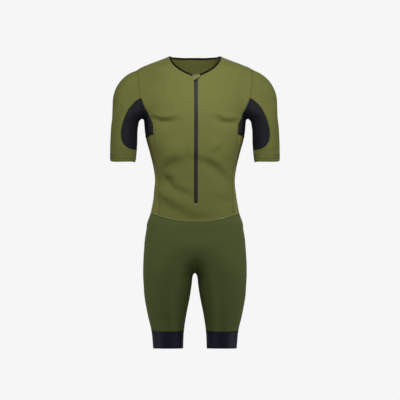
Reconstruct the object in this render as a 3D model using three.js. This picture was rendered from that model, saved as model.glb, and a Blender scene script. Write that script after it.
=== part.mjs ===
// A short-sleeved triathlon suit for a man of medium size, filled out as it is when worn.
// Stretch jersey top with a short front zip, dark mesh under the arms, fitted shorts and wide leg bands.
// Every piece of cloth is a wall of its own, cut along its seams. Units are millimetres.
// +Z is up, -Y is the front and +X is towards the wearer's left.
// The origin is midway between the two shoulders at the neck, where the wearer carries the suit.
import * as THREE from "three";

// Driving sizes
const WALL = 1.6;
const SEAM_GAP = 0.3;
const CUFF_Z = -338;
const LEG_HEM_Z = -947;
const LEG_BAND_HEIGHT = 57;
const CROTCH_Z = -706;
const ZIP_HALF_WIDTH = 6;
const ZIP_TOP_Z = -57;
const ZIP_END_Z = -475;
const BINDING_WIDTH = 5.5;
const MIDDLE_X = 0;

const COLOURS = {
  olive: { color: 0x737841, roughness: 0.75, metalness: 0 },
  darkGreen: { color: 0x444c28, roughness: 0.75, metalness: 0 },
  mesh: { color: 0x1b1b26, roughness: 0.8, metalness: 0 },
  band: { color: 0x181a26, roughness: 0.7, metalness: 0 },
  binding: { color: 0x14140f, roughness: 0.65, metalness: 0 },
  zip: { color: 0x2c2b2d, roughness: 0.5, metalness: 0 },
  slider: { color: 0x1d1d1e, roughness: 0.4, metalness: 0.3 },
};

// Level sections of the body, from the base of the neck to the leg hem. Each holds one half of the suit:
// inner and outer are distances from the middle, front and back are depths, square is the roundness exponent.
// Inner is minus outer where both halves are one, and passes zero where the legs part.
const BODY_SECTIONS = [
  { z: 62, inner: -58, outer: 58, front: 50, back: 52, square: 2 },
  { z: 26, inner: -63, outer: 63, front: 53, back: 55, square: 2 },
  { z: 4, inner: -80, outer: 80, front: 57, back: 60, square: 2 },
  { z: -10, inner: -112.5, outer: 112.5, front: 61, back: 67, square: 2 },
  { z: -23, inner: -147, outer: 147, front: 66, back: 74, square: 2.05 },
  { z: -37, inner: -177, outer: 177, front: 72, back: 82, square: 2.1 },
  { z: -56, inner: -180, outer: 180, front: 81, back: 91, square: 2.15 },
  { z: -88, inner: -179, outer: 179, front: 96, back: 102, square: 2.2 },
  { z: -136, inner: -174, outer: 174, front: 111, back: 110, square: 2.3 },
  { z: -190, inner: -167, outer: 167, front: 118, back: 111, square: 2.3 },
  { z: -257, inner: -160.5, outer: 160.5, front: 115, back: 105, square: 2.3 },
  { z: -316, inner: -145, outer: 145, front: 108, back: 95, square: 2.25 },
  { z: -361, inner: -134.5, outer: 134.5, front: 102, back: 90, square: 2.25 },
  { z: -403, inner: -129.5, outer: 129.5, front: 99, back: 89, square: 2.25 },
  { z: -452, inner: -134.5, outer: 134.5, front: 99, back: 93, square: 2.25 },
  { z: -507, inner: -144, outer: 144, front: 101, back: 106, square: 2.25 },
  { z: -556, inner: -156.3, outer: 156.3, front: 103, back: 120, square: 2.25 },
  { z: -608, inner: -128, outer: 164, front: 104, back: 128, square: 2.2 },
  { z: -652, inner: -58, outer: 167, front: 102, back: 128, square: 2.15 },
  { z: -684, inner: -10, outer: 168, front: 99, back: 119, square: 2.1 },
  { z: -700, inner: 1, outer: 168, front: 97, back: 113, square: 2.1 },
  { z: -712, inner: 7.5, outer: 168, front: 95, back: 108, square: 2.1 },
  { z: -740, inner: 11, outer: 166.5, front: 91, back: 99, square: 2.1 },
  { z: -780, inner: 17, outer: 163.5, front: 86, back: 90, square: 2.05 },
  { z: -838, inner: 28.5, outer: 153, front: 77, back: 78, square: 2 },
  { z: -890, inner: 36, outer: 141, front: 67, back: 68, square: 2 },
  { z: -947, inner: 38.5, outer: 135.5, front: 62, back: 63, square: 2 },
  { z: -990, inner: 39, outer: 131, front: 60, back: 61, square: 2 },
];

// Level sections of one sleeve. Above the first one the sleeve closes in a dome over the shoulder.
const SLEEVE_SECTIONS = [
  { z: -150, inner: 52, outer: 267.5, front: 61, back: 62, square: 2 },
  { z: -176, inner: 118, outer: 268.5, front: 59, back: 60, square: 2 },
  { z: -197, inner: 171, outer: 269, front: 57, back: 58, square: 2 },
  { z: -226, inner: 184.5, outer: 272.5, front: 56, back: 56, square: 2 },
  { z: -283, inner: 187.3, outer: 275.5, front: 54, back: 53, square: 2 },
  { z: -338, inner: 192.3, outer: 276, front: 52, back: 49, square: 2 },
  { z: -380, inner: 194, outer: 276.5, front: 50, back: 47, square: 2 },
];
const DOME_HEIGHT = 111;

// How softly one form runs into another, in millimetres of rounding.
const ARMPIT_BLEND = 20;
const SHOULDER_BLEND = 14;
const CROTCH_BLEND = 26;

// Soft troughs that the cloth takes as it is worn, on the front or back face. Each runs between two ends.
const FOLDS = [
  { name: "under chest right", face: "front", x1: -133, z1: -195, x2: -80, z2: -205, width: 13, depth: 3 },
  { name: "under chest left", face: "front", x1: 74, z1: -199, x2: 130, z2: -209, width: 14, depth: 2.5 },
  { name: "rib arch right", face: "front", x1: -104, z1: -354, x2: -36, z2: -323, width: 15, depth: 3 },
  { name: "rib arch left", face: "front", x1: 40, z1: -325, x2: 101, z2: -380, width: 13, depth: 3 },
  { name: "waist hollow right", face: "front", x1: -104, z1: -364, x2: -95, z2: -396, width: 17, depth: 3.4 },
  { name: "belly right", face: "front", x1: -80, z1: -404, x2: -32, z2: -436, width: 12, depth: 2.2 },
  { name: "hip right", face: "front", x1: -112, z1: -460, x2: -50, z2: -490, width: 17, depth: 2.6 },
  { name: "ribs left", face: "front", x1: 54, z1: -312, x2: 106, z2: -271, width: 15, depth: 1.4 },
  { name: "upper small of back", face: "back", x1: -92, z1: -374, x2: 60, z2: -384, width: 17, depth: 3 },
  { name: "lower small of back", face: "back", x1: -40, z1: -424, x2: 96, z2: -414, width: 16, depth: 2.6 },
  { name: "shoulder blade left", face: "back", x1: 60, z1: -236, x2: 128, z2: -206, width: 16, depth: 2.2 },
  { name: "shoulder blade right", face: "back", x1: -124, z1: -214, x2: -66, z2: -240, width: 16, depth: 2 },
];

// The form

function splineRow(table, z) {
  // One section at height z, smoothly between the rows of a table that runs downwards.
  const last = table.length - 1;
  let i = 0;
  while (i < last - 1 && z < table[i + 1].z) i++;
  const step = (k) => Math.min(Math.max(k, 0), last);
  const [before, a, b, after] = [i - 1, i, i + 1, i + 2].map((k) => table[step(k)]);
  const t = THREE.MathUtils.clamp((z - a.z) / (b.z - a.z), 0, 1);
  const row = {};
  for (const column of ["inner", "outer", "front", "back", "square"]) {
    const slopeA = a === before ? 0 : (b[column] - before[column]) / (b.z - before.z);
    const slopeB = b === after ? 0 : (after[column] - a[column]) / (after.z - a.z);
    const span = b.z - a.z;
    const t2 = t * t;
    const t3 = t2 * t;
    row[column] =
      (2 * t3 - 3 * t2 + 1) * a[column] +
      (t3 - 2 * t2 + t) * span * slopeA +
      (3 * t2 - 2 * t3) * b[column] +
      (t3 - t2) * span * slopeB;
  }
  return row;
}

function lobe(row, x, y, rise = 0) {
  // Distance, along the ray from the section's middle, to its rounded outline. Rise is the share of a dome.
  const half = (row.outer - row.inner) / 2;
  const across = x - (row.outer + row.inner) / 2;
  const depth = y < 0 ? row.front : row.back;
  const n = row.square;
  const reach = (Math.abs(across / half) ** n + Math.abs(y / depth) ** n + Math.abs(rise) ** n) ** (1 / n);
  const ray = Math.hypot(across, y, rise * DOME_HEIGHT);
  return ray - ray / Math.max(reach, 1e-6);
}

function softMin(a, b, blend) {
  const h = Math.max(blend - Math.abs(a - b), 0) / blend;
  return Math.min(a, b) - (h * h * blend) / 4;
}

function ramp(value, from, to) {
  return THREE.MathUtils.smoothstep(value, from, to);
}

function formDistance(p) {
  // Below zero inside the filled-out suit, zero on its outer face.
  const row = splineRow(BODY_SECTIONS, p.z);
  const belowHips = 1 - ramp(p.z, CROTCH_Z + 80, CROTCH_Z + 145);
  const crotchRise = ramp(p.z, CROTCH_Z, CROTCH_Z + 56);
  const crotchBlend = 0.5 + belowHips * THREE.MathUtils.lerp(8, CROTCH_BLEND, crotchRise);
  const body = softMin(lobe(row, p.x, p.y), lobe(row, -p.x, p.y), crotchBlend);
  const side = Math.abs(p.x);
  const top = SLEEVE_SECTIONS[0].z;
  const sleeveRow = splineRow(SLEEVE_SECTIONS, Math.min(p.z, top));
  const sleeve = lobe(sleeveRow, side, p.y, Math.max(p.z - top, 0) / DOME_HEIGHT);
  const blend = THREE.MathUtils.lerp(ARMPIT_BLEND, SHOULDER_BLEND, ramp(p.z, -150, -60));
  return softMin(body, sleeve, blend);
}

function formNormal(p) {
  const e = 0.6;
  const n = new THREE.Vector3();
  for (const axis of ["x", "y", "z"]) {
    const high = p.clone();
    const low = p.clone();
    high[axis] += e;
    low[axis] -= e;
    n[axis] = (formDistance(high) - formDistance(low)) / (2 * e);
  }
  return n;
}

function ontoForm(p) {
  // The nearest point of the form, by Newton steps along its slope.
  const q = p.clone();
  for (let i = 0; i < 9; i++) {
    const slope = formNormal(q);
    const step = THREE.MathUtils.clamp(formDistance(q) / slope.lengthSq(), -25, 25);
    q.addScaledVector(slope, -step);
  }
  return q;
}

function onFace(x, z, face) {
  // The point of the front or back face at x and z.
  const sign = face === "front" ? -1 : 1;
  const p = new THREE.Vector3(x, sign * 200, z);
  let outside = 200;
  while (outside > 0 && formDistance(p.setY(sign * outside)) > 0) outside -= 4;
  if (outside <= 0) return ontoForm(new THREE.Vector3(x, sign * 4, z));
  let inside = outside;
  outside += 4;
  for (let i = 0; i < 24; i++) {
    const middle = (inside + outside) / 2;
    if (formDistance(p.setY(sign * middle)) > 0) outside = middle;
    else inside = middle;
  }
  return p.setY(sign * inside).clone();
}

function foldDepth(p) {
  let depth = 0;
  for (const fold of FOLDS) {
    if (fold.face === "front" ? p.y > 0 : p.y < 0) continue;
    const run = new THREE.Vector2(fold.x2 - fold.x1, fold.z2 - fold.z1);
    const from = new THREE.Vector2(p.x - fold.x1, p.z - fold.z1);
    const along = THREE.MathUtils.clamp(from.dot(run) / run.lengthSq(), 0, 1);
    const off = from.addScaledVector(run, -along).length() / fold.width;
    const fade = 0.35 + 0.65 * Math.sin(Math.PI * (0.12 + 0.76 * along));
    depth += fold.depth * fade * Math.exp(-off * off);
  }
  return depth;
}

// Seams, all for the half of the suit with x above zero

const front = (x, z) => onFace(x, z, "front");
const back = (x, z) => onFace(x, z, "back");
const near = (x, y, z) => ontoForm(new THREE.Vector3(x, y, z));

function seam(points, steps) {
  // A seam through points of the form, as equal steps that all lie on it.
  if (points.length === 2) {
    const [a, b] = points;
    return Array.from({ length: steps + 1 }, (_, i) => {
      if (i === 0) return a.clone();
      return i === steps ? b.clone() : ontoForm(a.clone().lerp(b, i / steps));
    });
  }
  const curve = new THREE.CatmullRomCurve3(points, false, "centripetal");
  return curve.getSpacedPoints(steps).map((p, i) => (i % steps ? ontoForm(p) : p));
}

function chain(...seams) {
  return seams.flatMap((s, i) => (i ? s.slice(1) : s)).map((p) => p.clone());
}

const reversed = (s) => [...s].reverse().map((p) => p.clone());

// How many steps each seam has. Pieces that meet share them, so that their edges match.
const STEPS = {
  neckFront: 6,
  neckBack: 5,
  shoulder: 6,
  side: 4,
  sideSeam: 11,
  bodyInsert: 6,
  armhole: 7,
  belowZip: 3,
  zip: 20,
  sleeveInsert: 7,
  sleeveInseam: 2,
  hipMiddle: 9,
  inseam: 9,
  legBand: 2,
};

const zipFoot = front(ZIP_HALF_WIDTH, ZIP_END_Z + 2);
const zipHead = front(ZIP_HALF_WIDTH, -62);
const neckSide = near(83.5, 4, -1);
const backNeck = back(MIDDLE_X, 0);
const shoulderTop = near(188, 5, -40);
const insertFront = front(177.5, -134);
const insertBack = back(177, -134);
const armpit = near(171, 0, -193);
const bodyInsertFront = front(136, -252);
const bodyInsertBack = back(134, -252);
const waistMiddleFront = front(MIDDLE_X, -535);
const waistMiddleBack = back(MIDDLE_X, -500);
const waistFront = front(125, -514.5);
const waistBack = back(124, -506);
const waistSide = near(147, 2, -508);
const crotch = near(0, 4, CROTCH_Z);
const bandTop = LEG_HEM_Z + LEG_BAND_HEIGHT;

const SEAMS = {
  neckFront: seam(
    [zipHead, front(24, -55.5), front(41, -47.5), front(57, -38), front(70, -27), front(79, -15), neckSide],
    STEPS.neckFront,
  ),
  neckBack: seam([neckSide, near(72, 40, 0), back(38, -0.4), backNeck], STEPS.neckBack),
  shoulder: seam([neckSide, near(118, 5, -11), near(155, 5, -26), shoulderTop], STEPS.shoulder),
  zip: seam([zipFoot, zipHead], STEPS.zip),
  belowZip: seam([waistMiddleFront, front(MIDDLE_X, ZIP_END_Z)], STEPS.belowZip),
  backMiddle: seam(
    [waistMiddleBack, back(MIDDLE_X, -380), back(MIDDLE_X, -250), back(MIDDLE_X, -110), backNeck],
    STEPS.sideSeam + STEPS.bodyInsert + STEPS.armhole,
  ),
  armholeFront: seam(
    [insertFront, front(181, -114), front(183.5, -89), front(185.5, -64), shoulderTop],
    STEPS.armhole,
  ),
  armholeBack: seam(
    [insertBack, back(180, -108), back(184, -78), back(187, -56), shoulderTop],
    STEPS.armhole,
  ),
  armholeUnder: seam(
    [
      insertFront,
      near(173, -44, -166),
      near(171, -24, -186),
      armpit,
      near(171, 24, -186),
      near(173, 44, -166),
      insertBack,
    ],
    2 * STEPS.side,
  ),
  bodyInsertFront: seam(
    [
      bodyInsertFront,
      front(137.5, -236),
      front(141, -216),
      front(149, -196),
      front(160, -172),
      front(169, -151),
      insertFront,
    ],
    STEPS.bodyInsert,
  ),
  bodyInsertBack: seam(
    [bodyInsertBack, back(136, -236), back(141, -212), back(151, -184), back(166, -154), insertBack],
    STEPS.bodyInsert,
  ),
  bodyInsertFoot: seam(
    [bodyInsertFront, near(154, -50, -257), near(161, 0, -261), near(153, 50, -257), bodyInsertBack],
    2 * STEPS.side,
  ),
  sideFront: seam(
    [waistFront, front(123, -455), front(120, -400), front(125, -345), front(133, -290), bodyInsertFront],
    STEPS.sideSeam,
  ),
  sideBack: seam(
    [waistBack, back(116, -455), back(112, -400), back(117, -345), back(128, -290), bodyInsertBack],
    STEPS.sideSeam,
  ),
  waistFront: seam(
    [waistMiddleFront, front(30, -534.5), front(60, -531.5), front(92, -524.5), waistFront],
    STEPS.neckFront + STEPS.shoulder,
  ),
  waistBack: seam(
    [waistMiddleBack, back(50, -500.5), back(92, -503), waistBack],
    STEPS.neckBack + STEPS.shoulder,
  ),
  waistSideFront: seam([waistFront, near(143, -45, -509), waistSide], STEPS.side),
  waistSideBack: seam([waistSide, near(142, 48, -507), waistBack], STEPS.side),
};

const insertFootFront = front(229, -288);
const insertFootBack = back(229, -288);
const insertFoot = near(190, 0, -300);
const sleeveAcrossOuter = near(275, 0, -290);
const cuffInner = near(191, 0, CUFF_Z - 2);
const cuffOuter = near(277, 0, CUFF_Z + 1);
Object.assign(SEAMS, {
  sleeveInsertFront: seam(
    [
      insertFront,
      front(197.5, -148),
      front(214, -167),
      front(226.5, -190),
      front(234.5, -213),
      front(240, -236),
      front(241, -254),
      front(238, -272),
      insertFootFront,
    ],
    STEPS.sleeveInsert,
  ),
  sleeveInsertBack: seam(
    [
      insertBack,
      back(197, -150),
      back(214, -170),
      back(229, -200),
      back(239, -236),
      back(238, -270),
      insertFootBack,
    ],
    STEPS.sleeveInsert,
  ),
  sleeveInsertFootFront: seam(
    [insertFootFront, front(218, -296), front(204, -300), near(193, -20, -300.5), insertFoot],
    STEPS.side,
  ),
  sleeveInsertFootBack: seam(
    [insertFootBack, back(218, -296), back(204, -300), near(193, 20, -300.5), insertFoot],
    STEPS.side,
  ),
  sleeveInseam: seam([insertFoot, cuffInner], STEPS.sleeveInseam),
  sleeveOuter: seam(
    [
      shoulderTop,
      near(206, 3, -50),
      near(226, 2, -62),
      near(249, 0, -88),
      near(262, 0, -115),
      near(269, 0, -150),
      near(271, 0, -200),
      sleeveAcrossOuter,
    ],
    STEPS.sleeveInsert,
  ),
  sleeveOuterFoot: seam([sleeveAcrossOuter, cuffOuter], STEPS.sleeveInseam),
  sleeveAcrossFront: seam([insertFootFront, near(262, -40, -290), sleeveAcrossOuter], STEPS.armhole),
  sleeveAcrossBack: seam([insertFootBack, near(262, 40, -290), sleeveAcrossOuter], STEPS.armhole),
  cuffFront: seam(
    [cuffInner, near(205, -40, CUFF_Z), near(234, -52, CUFF_Z), near(264, -38, CUFF_Z), cuffOuter],
    STEPS.side + STEPS.armhole,
  ),
  cuffBack: seam(
    [cuffInner, near(205, 38, CUFF_Z), near(234, 49, CUFF_Z), near(264, 36, CUFF_Z), cuffOuter],
    STEPS.side + STEPS.armhole,
  ),
});

const bandInnerTop = near(36, 0, bandTop);
const bandOuterTop = near(141, 0, bandTop);
const frontSteps = STEPS.neckFront + STEPS.shoulder + STEPS.side;
const backSteps = STEPS.neckBack + STEPS.shoulder + STEPS.side;
function legRing(z, halfDepth, inner, outer, steps, dip = 0) {
  // Half of a ring round the thigh, from the inner leg to the outer leg.
  const middle = (inner.x + outer.x) / 2;
  const quarter = (outer.x - inner.x) * 0.36;
  const points = [
    inner,
    near(middle - quarter, halfDepth * 0.7, z - dip * 0.6),
    near(middle, halfDepth, z - dip),
    near(middle + quarter, halfDepth * 0.7, z - dip * 0.6),
    outer,
  ];
  return seam(points, steps);
}
const hemInner = near(40, 0, LEG_HEM_Z);
const hemOuter = near(135.5, 0, LEG_HEM_Z);
Object.assign(SEAMS, {
  hipMiddleFront: seam(
    [
      waistMiddleFront,
      front(MIDDLE_X, -590),
      front(MIDDLE_X, -640),
      near(MIDDLE_X, -62, -682),
      near(MIDDLE_X, -28, CROTCH_Z - 1),
      crotch,
    ],
    STEPS.hipMiddle,
  ),
  hipMiddleBack: seam(
    [
      waistMiddleBack,
      back(MIDDLE_X, -570),
      back(MIDDLE_X, -632),
      near(MIDDLE_X, 80, -675),
      near(MIDDLE_X, 34, CROTCH_Z - 2),
      crotch,
    ],
    STEPS.hipMiddle,
  ),
  inseam: seam([crotch, near(12, 2, -730), near(20, 0, -790), near(29, 0, -840), bandInnerTop], STEPS.inseam),
  outerLeg: seam(
    [
      waistSide,
      near(158, 2, -556),
      near(167, 2, -630),
      near(168, 0, -690),
      near(165, 0, -780),
      near(153, 0, -838),
      bandOuterTop,
    ],
    STEPS.hipMiddle + STEPS.inseam,
  ),
  bandTopFront: legRing(bandTop, -66, bandInnerTop, bandOuterTop, frontSteps, 3),
  bandTopBack: legRing(bandTop, 67, bandInnerTop, bandOuterTop, backSteps, 2),
  hemFront: legRing(LEG_HEM_Z, -62, hemInner, hemOuter, frontSteps),
  hemBack: legRing(LEG_HEM_Z, 63, hemInner, hemOuter, backSteps),
  bandInner: seam([bandInnerTop, hemInner], STEPS.legBand),
  bandOuter: seam([bandOuterTop, hemOuter], STEPS.legBand),
});

// Walls

function patch(bottom, top, left, right) {
  // A grid of points between four seams, laid on the form and evened out.
  const columns = bottom.length - 1;
  const rows = left.length - 1;
  const grid = [];
  for (let j = 0; j <= rows; j++) {
    const v = j / rows;
    grid.push([]);
    for (let i = 0; i <= columns; i++) {
      const u = i / columns;
      const edge = { 0: left, [columns]: right }[i]?.[j] ?? { 0: bottom, [rows]: top }[j]?.[i];
      if (edge) {
        grid[j].push(edge.clone());
        continue;
      }
      const p = new THREE.Vector3();
      p.addScaledVector(bottom[i], 1 - v).addScaledVector(top[i], v);
      p.addScaledVector(left[j], 1 - u).addScaledVector(right[j], u);
      p.addScaledVector(bottom[0], -(1 - u) * (1 - v)).addScaledVector(bottom[columns], -u * (1 - v));
      p.addScaledVector(top[0], -(1 - u) * v).addScaledVector(top[columns], -u * v);
      grid[j].push(ontoForm(p));
    }
  }
  for (let pass = 0; pass < 14; pass++) {
    const old = grid.map((line) => line.map((p) => p.clone()));
    for (let j = 1; j < rows; j++) {
      for (let i = 1; i < columns; i++) {
        const sum = old[j - 1][i].clone().add(old[j + 1][i]).add(old[j][i - 1]).add(old[j][i + 1]);
        grid[j][i] = ontoForm(sum.multiplyScalar(0.25).lerp(old[j][i], 0.4));
      }
    }
  }
  return grid;
}

function mirrored(grid) {
  return grid.map((line) => [...line].reverse().map((p) => new THREE.Vector3(-p.x, p.y, p.z)));
}

function facesOut(grid) {
  // Whether a grid's squares, taken round from each column to the next, face away from the body.
  let agree = 0;
  for (let j = 0; j + 1 < grid.length; j++) {
    for (let i = 0; i + 1 < grid[0].length; i++) {
      const rising = new THREE.Vector3().subVectors(grid[j + 1][i + 1], grid[j][i]);
      const falling = new THREE.Vector3().subVectors(grid[j + 1][i], grid[j][i + 1]);
      agree += rising.cross(falling).dot(formNormal(grid[j][i]));
    }
  }
  return agree > 0;
}

function skinOf(grids) {
  // One sheet of squares, all facing out, from grids that share edges.
  const points = [];
  const index = new Map();
  const faces = [];
  const add = (p) => {
    const key = [p.x, p.y, p.z].map((value) => Math.round(value * 200)).join(",");
    if (!index.has(key)) {
      index.set(key, points.length);
      points.push(p.clone());
    }
    return index.get(key);
  };
  for (const grid of grids) {
    const out = facesOut(grid);
    for (let j = 0; j + 1 < grid.length; j++) {
      for (let i = 0; i + 1 < grid[0].length; i++) {
        const corners = [grid[j][i], grid[j][i + 1], grid[j + 1][i + 1], grid[j + 1][i]];
        // Each square is split from its first corner, so that is one end of its shorter diagonal.
        const [a, b, c, d] = corners;
        if (a.distanceTo(c) > b.distanceTo(d)) corners.push(corners.shift());
        const face = corners.map(add);
        if (!out) face.reverse().unshift(face.pop());
        faces.push(face);
      }
    }
  }
  return { points, faces };
}

function edgeLoops(skin) {
  // Each open edge's next point and previous point, the sheet lying on its left.
  const used = new Set();
  for (const face of skin.faces) {
    face.forEach((a, k) => used.add(a + ":" + face[(k + 1) % face.length]));
  }
  const next = new Map();
  const previous = new Map();
  for (const key of used) {
    const [a, b] = key.split(":").map(Number);
    if (used.has(b + ":" + a)) continue;
    next.set(a, b);
    previous.set(b, a);
  }
  return { next, previous };
}

function wall(skin, { lift = 0, thickness = WALL } = {}) {
  // A sheet as a closed wall: its outer face on the form and its inner face a thickness inside,
  // with half a seam gap taken off every open edge.
  const { next, previous } = edgeLoops(skin);
  const normals = skin.points.map((p) => formNormal(p).normalize());
  const outer = skin.points.map((p, k) => {
    const height = typeof lift === "function" ? lift(p) : lift;
    const q = p.clone().addScaledVector(normals[k], height - foldDepth(p));
    if (!next.has(k)) return q;
    const run = new THREE.Vector3().subVectors(skin.points[next.get(k)], skin.points[previous.get(k)]);
    const inward = new THREE.Vector3().crossVectors(normals[k], run).normalize();
    return q.addScaledVector(inward, SEAM_GAP / 2 + 0.02);
  });
  const inner = outer.map((p, k) => p.clone().addScaledVector(normals[k], -thickness));
  const count = outer.length;
  const triangles = [];
  for (const face of skin.faces) {
    for (let k = 1; k + 1 < face.length; k++) {
      triangles.push(face[0], face[k], face[k + 1]);
      triangles.push(count + face[0], count + face[k + 1], count + face[k]);
    }
  }
  for (const [a, b] of next) triangles.push(b, a, count + a, b, count + a, count + b);
  const geometry = new THREE.BufferGeometry();
  const positions = [...outer, ...inner].flatMap((p) => [p.x, p.y, p.z]);
  geometry.setAttribute("position", new THREE.BufferAttribute(new Float32Array(positions), 3));
  geometry.setIndex(triangles);
  geometry.computeVertexNormals();
  return geometry;
}

function rail(stations, section) {
  // A solid strip with one section carried along its stations. Each station has a place, a direction
  // across the strip, a direction out of the cloth and perhaps a width. Section points are [across, out].
  const ring = section.length;
  const positions = stations.flatMap(({ place, across, out, width = 1 }) =>
    section.flatMap(([u, v]) =>
      place
        .clone()
        .addScaledVector(across, u * width)
        .addScaledVector(out, v)
        .toArray(),
    ),
  );
  const triangles = [];
  for (let s = 0; s + 1 < stations.length; s++) {
    for (let k = 0; k < ring; k++) {
      const a = s * ring + k;
      const b = s * ring + ((k + 1) % ring);
      triangles.push(a, b, a + ring, b, b + ring, a + ring);
    }
  }
  const end = (stations.length - 1) * ring;
  for (let k = 1; k + 1 < ring; k++) {
    triangles.push(0, k + 1, k);
    triangles.push(end, end + k, end + k + 1);
  }
  const geometry = new THREE.BufferGeometry();
  geometry.setAttribute("position", new THREE.BufferAttribute(new Float32Array(positions), 3));
  geometry.setIndex(triangles);
  geometry.computeVertexNormals();
  return geometry;
}

const suit = new THREE.Group();

function addMesh(name, geometry, colour) {
  const mesh = new THREE.Mesh(geometry, new THREE.MeshStandardMaterial(COLOURS[colour]));
  mesh.name = name;
  suit.add(mesh);
}

function addPair(name, grids, colour, options) {
  // The same piece on the wearer's left, and mirrored on the wearer's right.
  addMesh(name + "_left", wall(skinOf(grids), options), colour);
  addMesh(name + "_right", wall(skinOf(grids.map(mirrored)), options), colour);
}

// Front: one piece with a slit for the zip, from the waist to the neck and shoulders.
const frontHalf = patch(
  SEAMS.waistFront,
  chain(SEAMS.neckFront, SEAMS.shoulder),
  [...SEAMS.belowZip, ...SEAMS.zip].map((p) => p.clone()),
  chain(SEAMS.sideFront, SEAMS.bodyInsertFront, SEAMS.armholeFront),
);
addMesh("front", wall(skinOf([frontHalf, mirrored(frontHalf)])), "olive");

// Back: one plain piece.
const backHalf = patch(
  SEAMS.waistBack,
  chain(reversed(SEAMS.neckBack), SEAMS.shoulder),
  SEAMS.backMiddle,
  chain(SEAMS.sideBack, SEAMS.bodyInsertBack, SEAMS.armholeBack),
);
addMesh("back", wall(skinOf([backHalf, mirrored(backHalf)])), "olive");

// Side panels, from the waist to the mesh.
const panelFoot = chain(SEAMS.waistSideFront, SEAMS.waistSideBack);
addPair("side_panel", [patch(panelFoot, SEAMS.bodyInsertFoot, SEAMS.sideFront, SEAMS.sideBack)], "olive");

// Mesh under the arm, in two pieces that meet at the armhole.
addPair(
  "underarm_body",
  [patch(SEAMS.bodyInsertFoot, SEAMS.armholeUnder, SEAMS.bodyInsertFront, SEAMS.bodyInsertBack)],
  "mesh",
);
addPair(
  "underarm_sleeve",
  [
    patch(
      chain(SEAMS.sleeveInsertFootFront, reversed(SEAMS.sleeveInsertFootBack)),
      SEAMS.armholeUnder,
      reversed(SEAMS.sleeveInsertFront),
      reversed(SEAMS.sleeveInsertBack),
    ),
  ],
  "mesh",
);

// Sleeves: each is cut in one and joined below the mesh on the inner arm.
const sleeveGrids = ["Front", "Back"].flatMap((side) => [
  patch(
    SEAMS["sleeveAcross" + side],
    SEAMS["armhole" + side],
    reversed(SEAMS["sleeveInsert" + side]),
    reversed(SEAMS.sleeveOuter),
  ),
  patch(
    SEAMS["cuff" + side],
    chain(reversed(SEAMS["sleeveInsertFoot" + side]), SEAMS["sleeveAcross" + side]),
    reversed(SEAMS.sleeveInseam),
    reversed(SEAMS.sleeveOuterFoot),
  ),
]);
addPair("sleeve", sleeveGrids, "olive");

// Shorts: the front is one piece and the back has a seam down its middle.
const waistFrontHalf = chain(SEAMS.waistFront, SEAMS.waistSideFront);
const shortsFrontHalf = patch(
  SEAMS.bandTopFront,
  waistFrontHalf,
  reversed(chain(SEAMS.hipMiddleFront, SEAMS.inseam)),
  reversed(SEAMS.outerLeg),
);
addMesh("shorts_front", wall(skinOf([shortsFrontHalf, mirrored(shortsFrontHalf)])), "darkGreen");
const waistBackHalf = chain(SEAMS.waistBack, reversed(SEAMS.waistSideBack));
const shortsBackHalf = patch(
  SEAMS.bandTopBack,
  waistBackHalf,
  reversed(chain(SEAMS.hipMiddleBack, SEAMS.inseam)),
  reversed(SEAMS.outerLeg),
);
addPair("shorts_back", [shortsBackHalf], "darkGreen");

// Leg bands: a closed ring of elastic on each leg.
const bandGrids = ["Front", "Back"].map((side) =>
  patch(SEAMS["hem" + side], SEAMS["bandTop" + side], reversed(SEAMS.bandInner), reversed(SEAMS.bandOuter)),
);
addPair("leg_band", bandGrids, "band");

// Neck binding: a narrow strip folded over the neck edge, from one side of the zip round to the other.
const neckHalf = chain(SEAMS.neckFront, SEAMS.neckBack);
const neckline = [...neckHalf, ...mirrored([neckHalf])[0].slice(1)];
const neckStations = neckline.map((place, i) => {
  const out = formNormal(place).normalize();
  const run = neckline[Math.min(i + 1, neckline.length - 1)].clone().sub(neckline[Math.max(i - 1, 0)]);
  const across = new THREE.Vector3().crossVectors(out, run).normalize();
  const station = { place: place.clone(), across, out };
  if (i === 0 || i === neckline.length - 1) {
    station.place.x += Math.sign(place.x) * SEAM_GAP * 0.6;
    const along = new THREE.Vector3(0, 0, 1);
    station.across = along.addScaledVector(out, -along.dot(out)).normalize();
  }
  return station;
});
const edge = SEAM_GAP * 0.6;
const bindingSection = [
  [edge, 0.3],
  [edge, -WALL - 0.3],
  [BINDING_WIDTH * 0.6, -WALL - 0.8],
  [BINDING_WIDTH * 0.92, -WALL - 0.2],
  [BINDING_WIDTH, -WALL / 2],
  [BINDING_WIDTH * 0.92, 0.2],
  [BINDING_WIDTH * 0.6, 0.8],
];
addMesh("neck_binding", rail(neckStations, bindingSection), "binding");

// Zip: two tapes that meet at the middle, and a slider at the top, closed.
const zipLine = [
  front(ZIP_HALF_WIDTH, ZIP_END_Z + 4),
  ...SEAMS.zip.slice(1),
  front(ZIP_HALF_WIDTH, ZIP_TOP_Z),
];
const tape = zipLine.map((p) => [front(MIDDLE_X, p.z), p]);
addPair("zip_tape", [tape], "zip", { lift: -0.4 });

const SLIDER = { top: -61, bottom: -69, halfWidth: 2.6, height: 2.1 };
const sliderSection = [
  [-1, 0.35],
  [1, 0.35],
  [1, SLIDER.height * 0.7],
  [0.7, SLIDER.height],
  [-0.7, SLIDER.height],
  [-1, SLIDER.height * 0.7],
];
const sliderStations = [
  { at: 0, width: 0.8 },
  { at: 0.12, width: 1 },
  { at: 0.55, width: 1 },
  { at: 0.8, width: 0.75 },
  { at: 1, width: 0.7 },
].map(({ at, width }) => {
  const place = front(MIDDLE_X, THREE.MathUtils.lerp(SLIDER.bottom, SLIDER.top, at));
  const out = formNormal(place).normalize();
  return { place, out, across: new THREE.Vector3(-1, 0, 0), width: width * SLIDER.halfWidth };
});
addMesh("zip_slider", rail(sliderStations, sliderSection), "slider");

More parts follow.
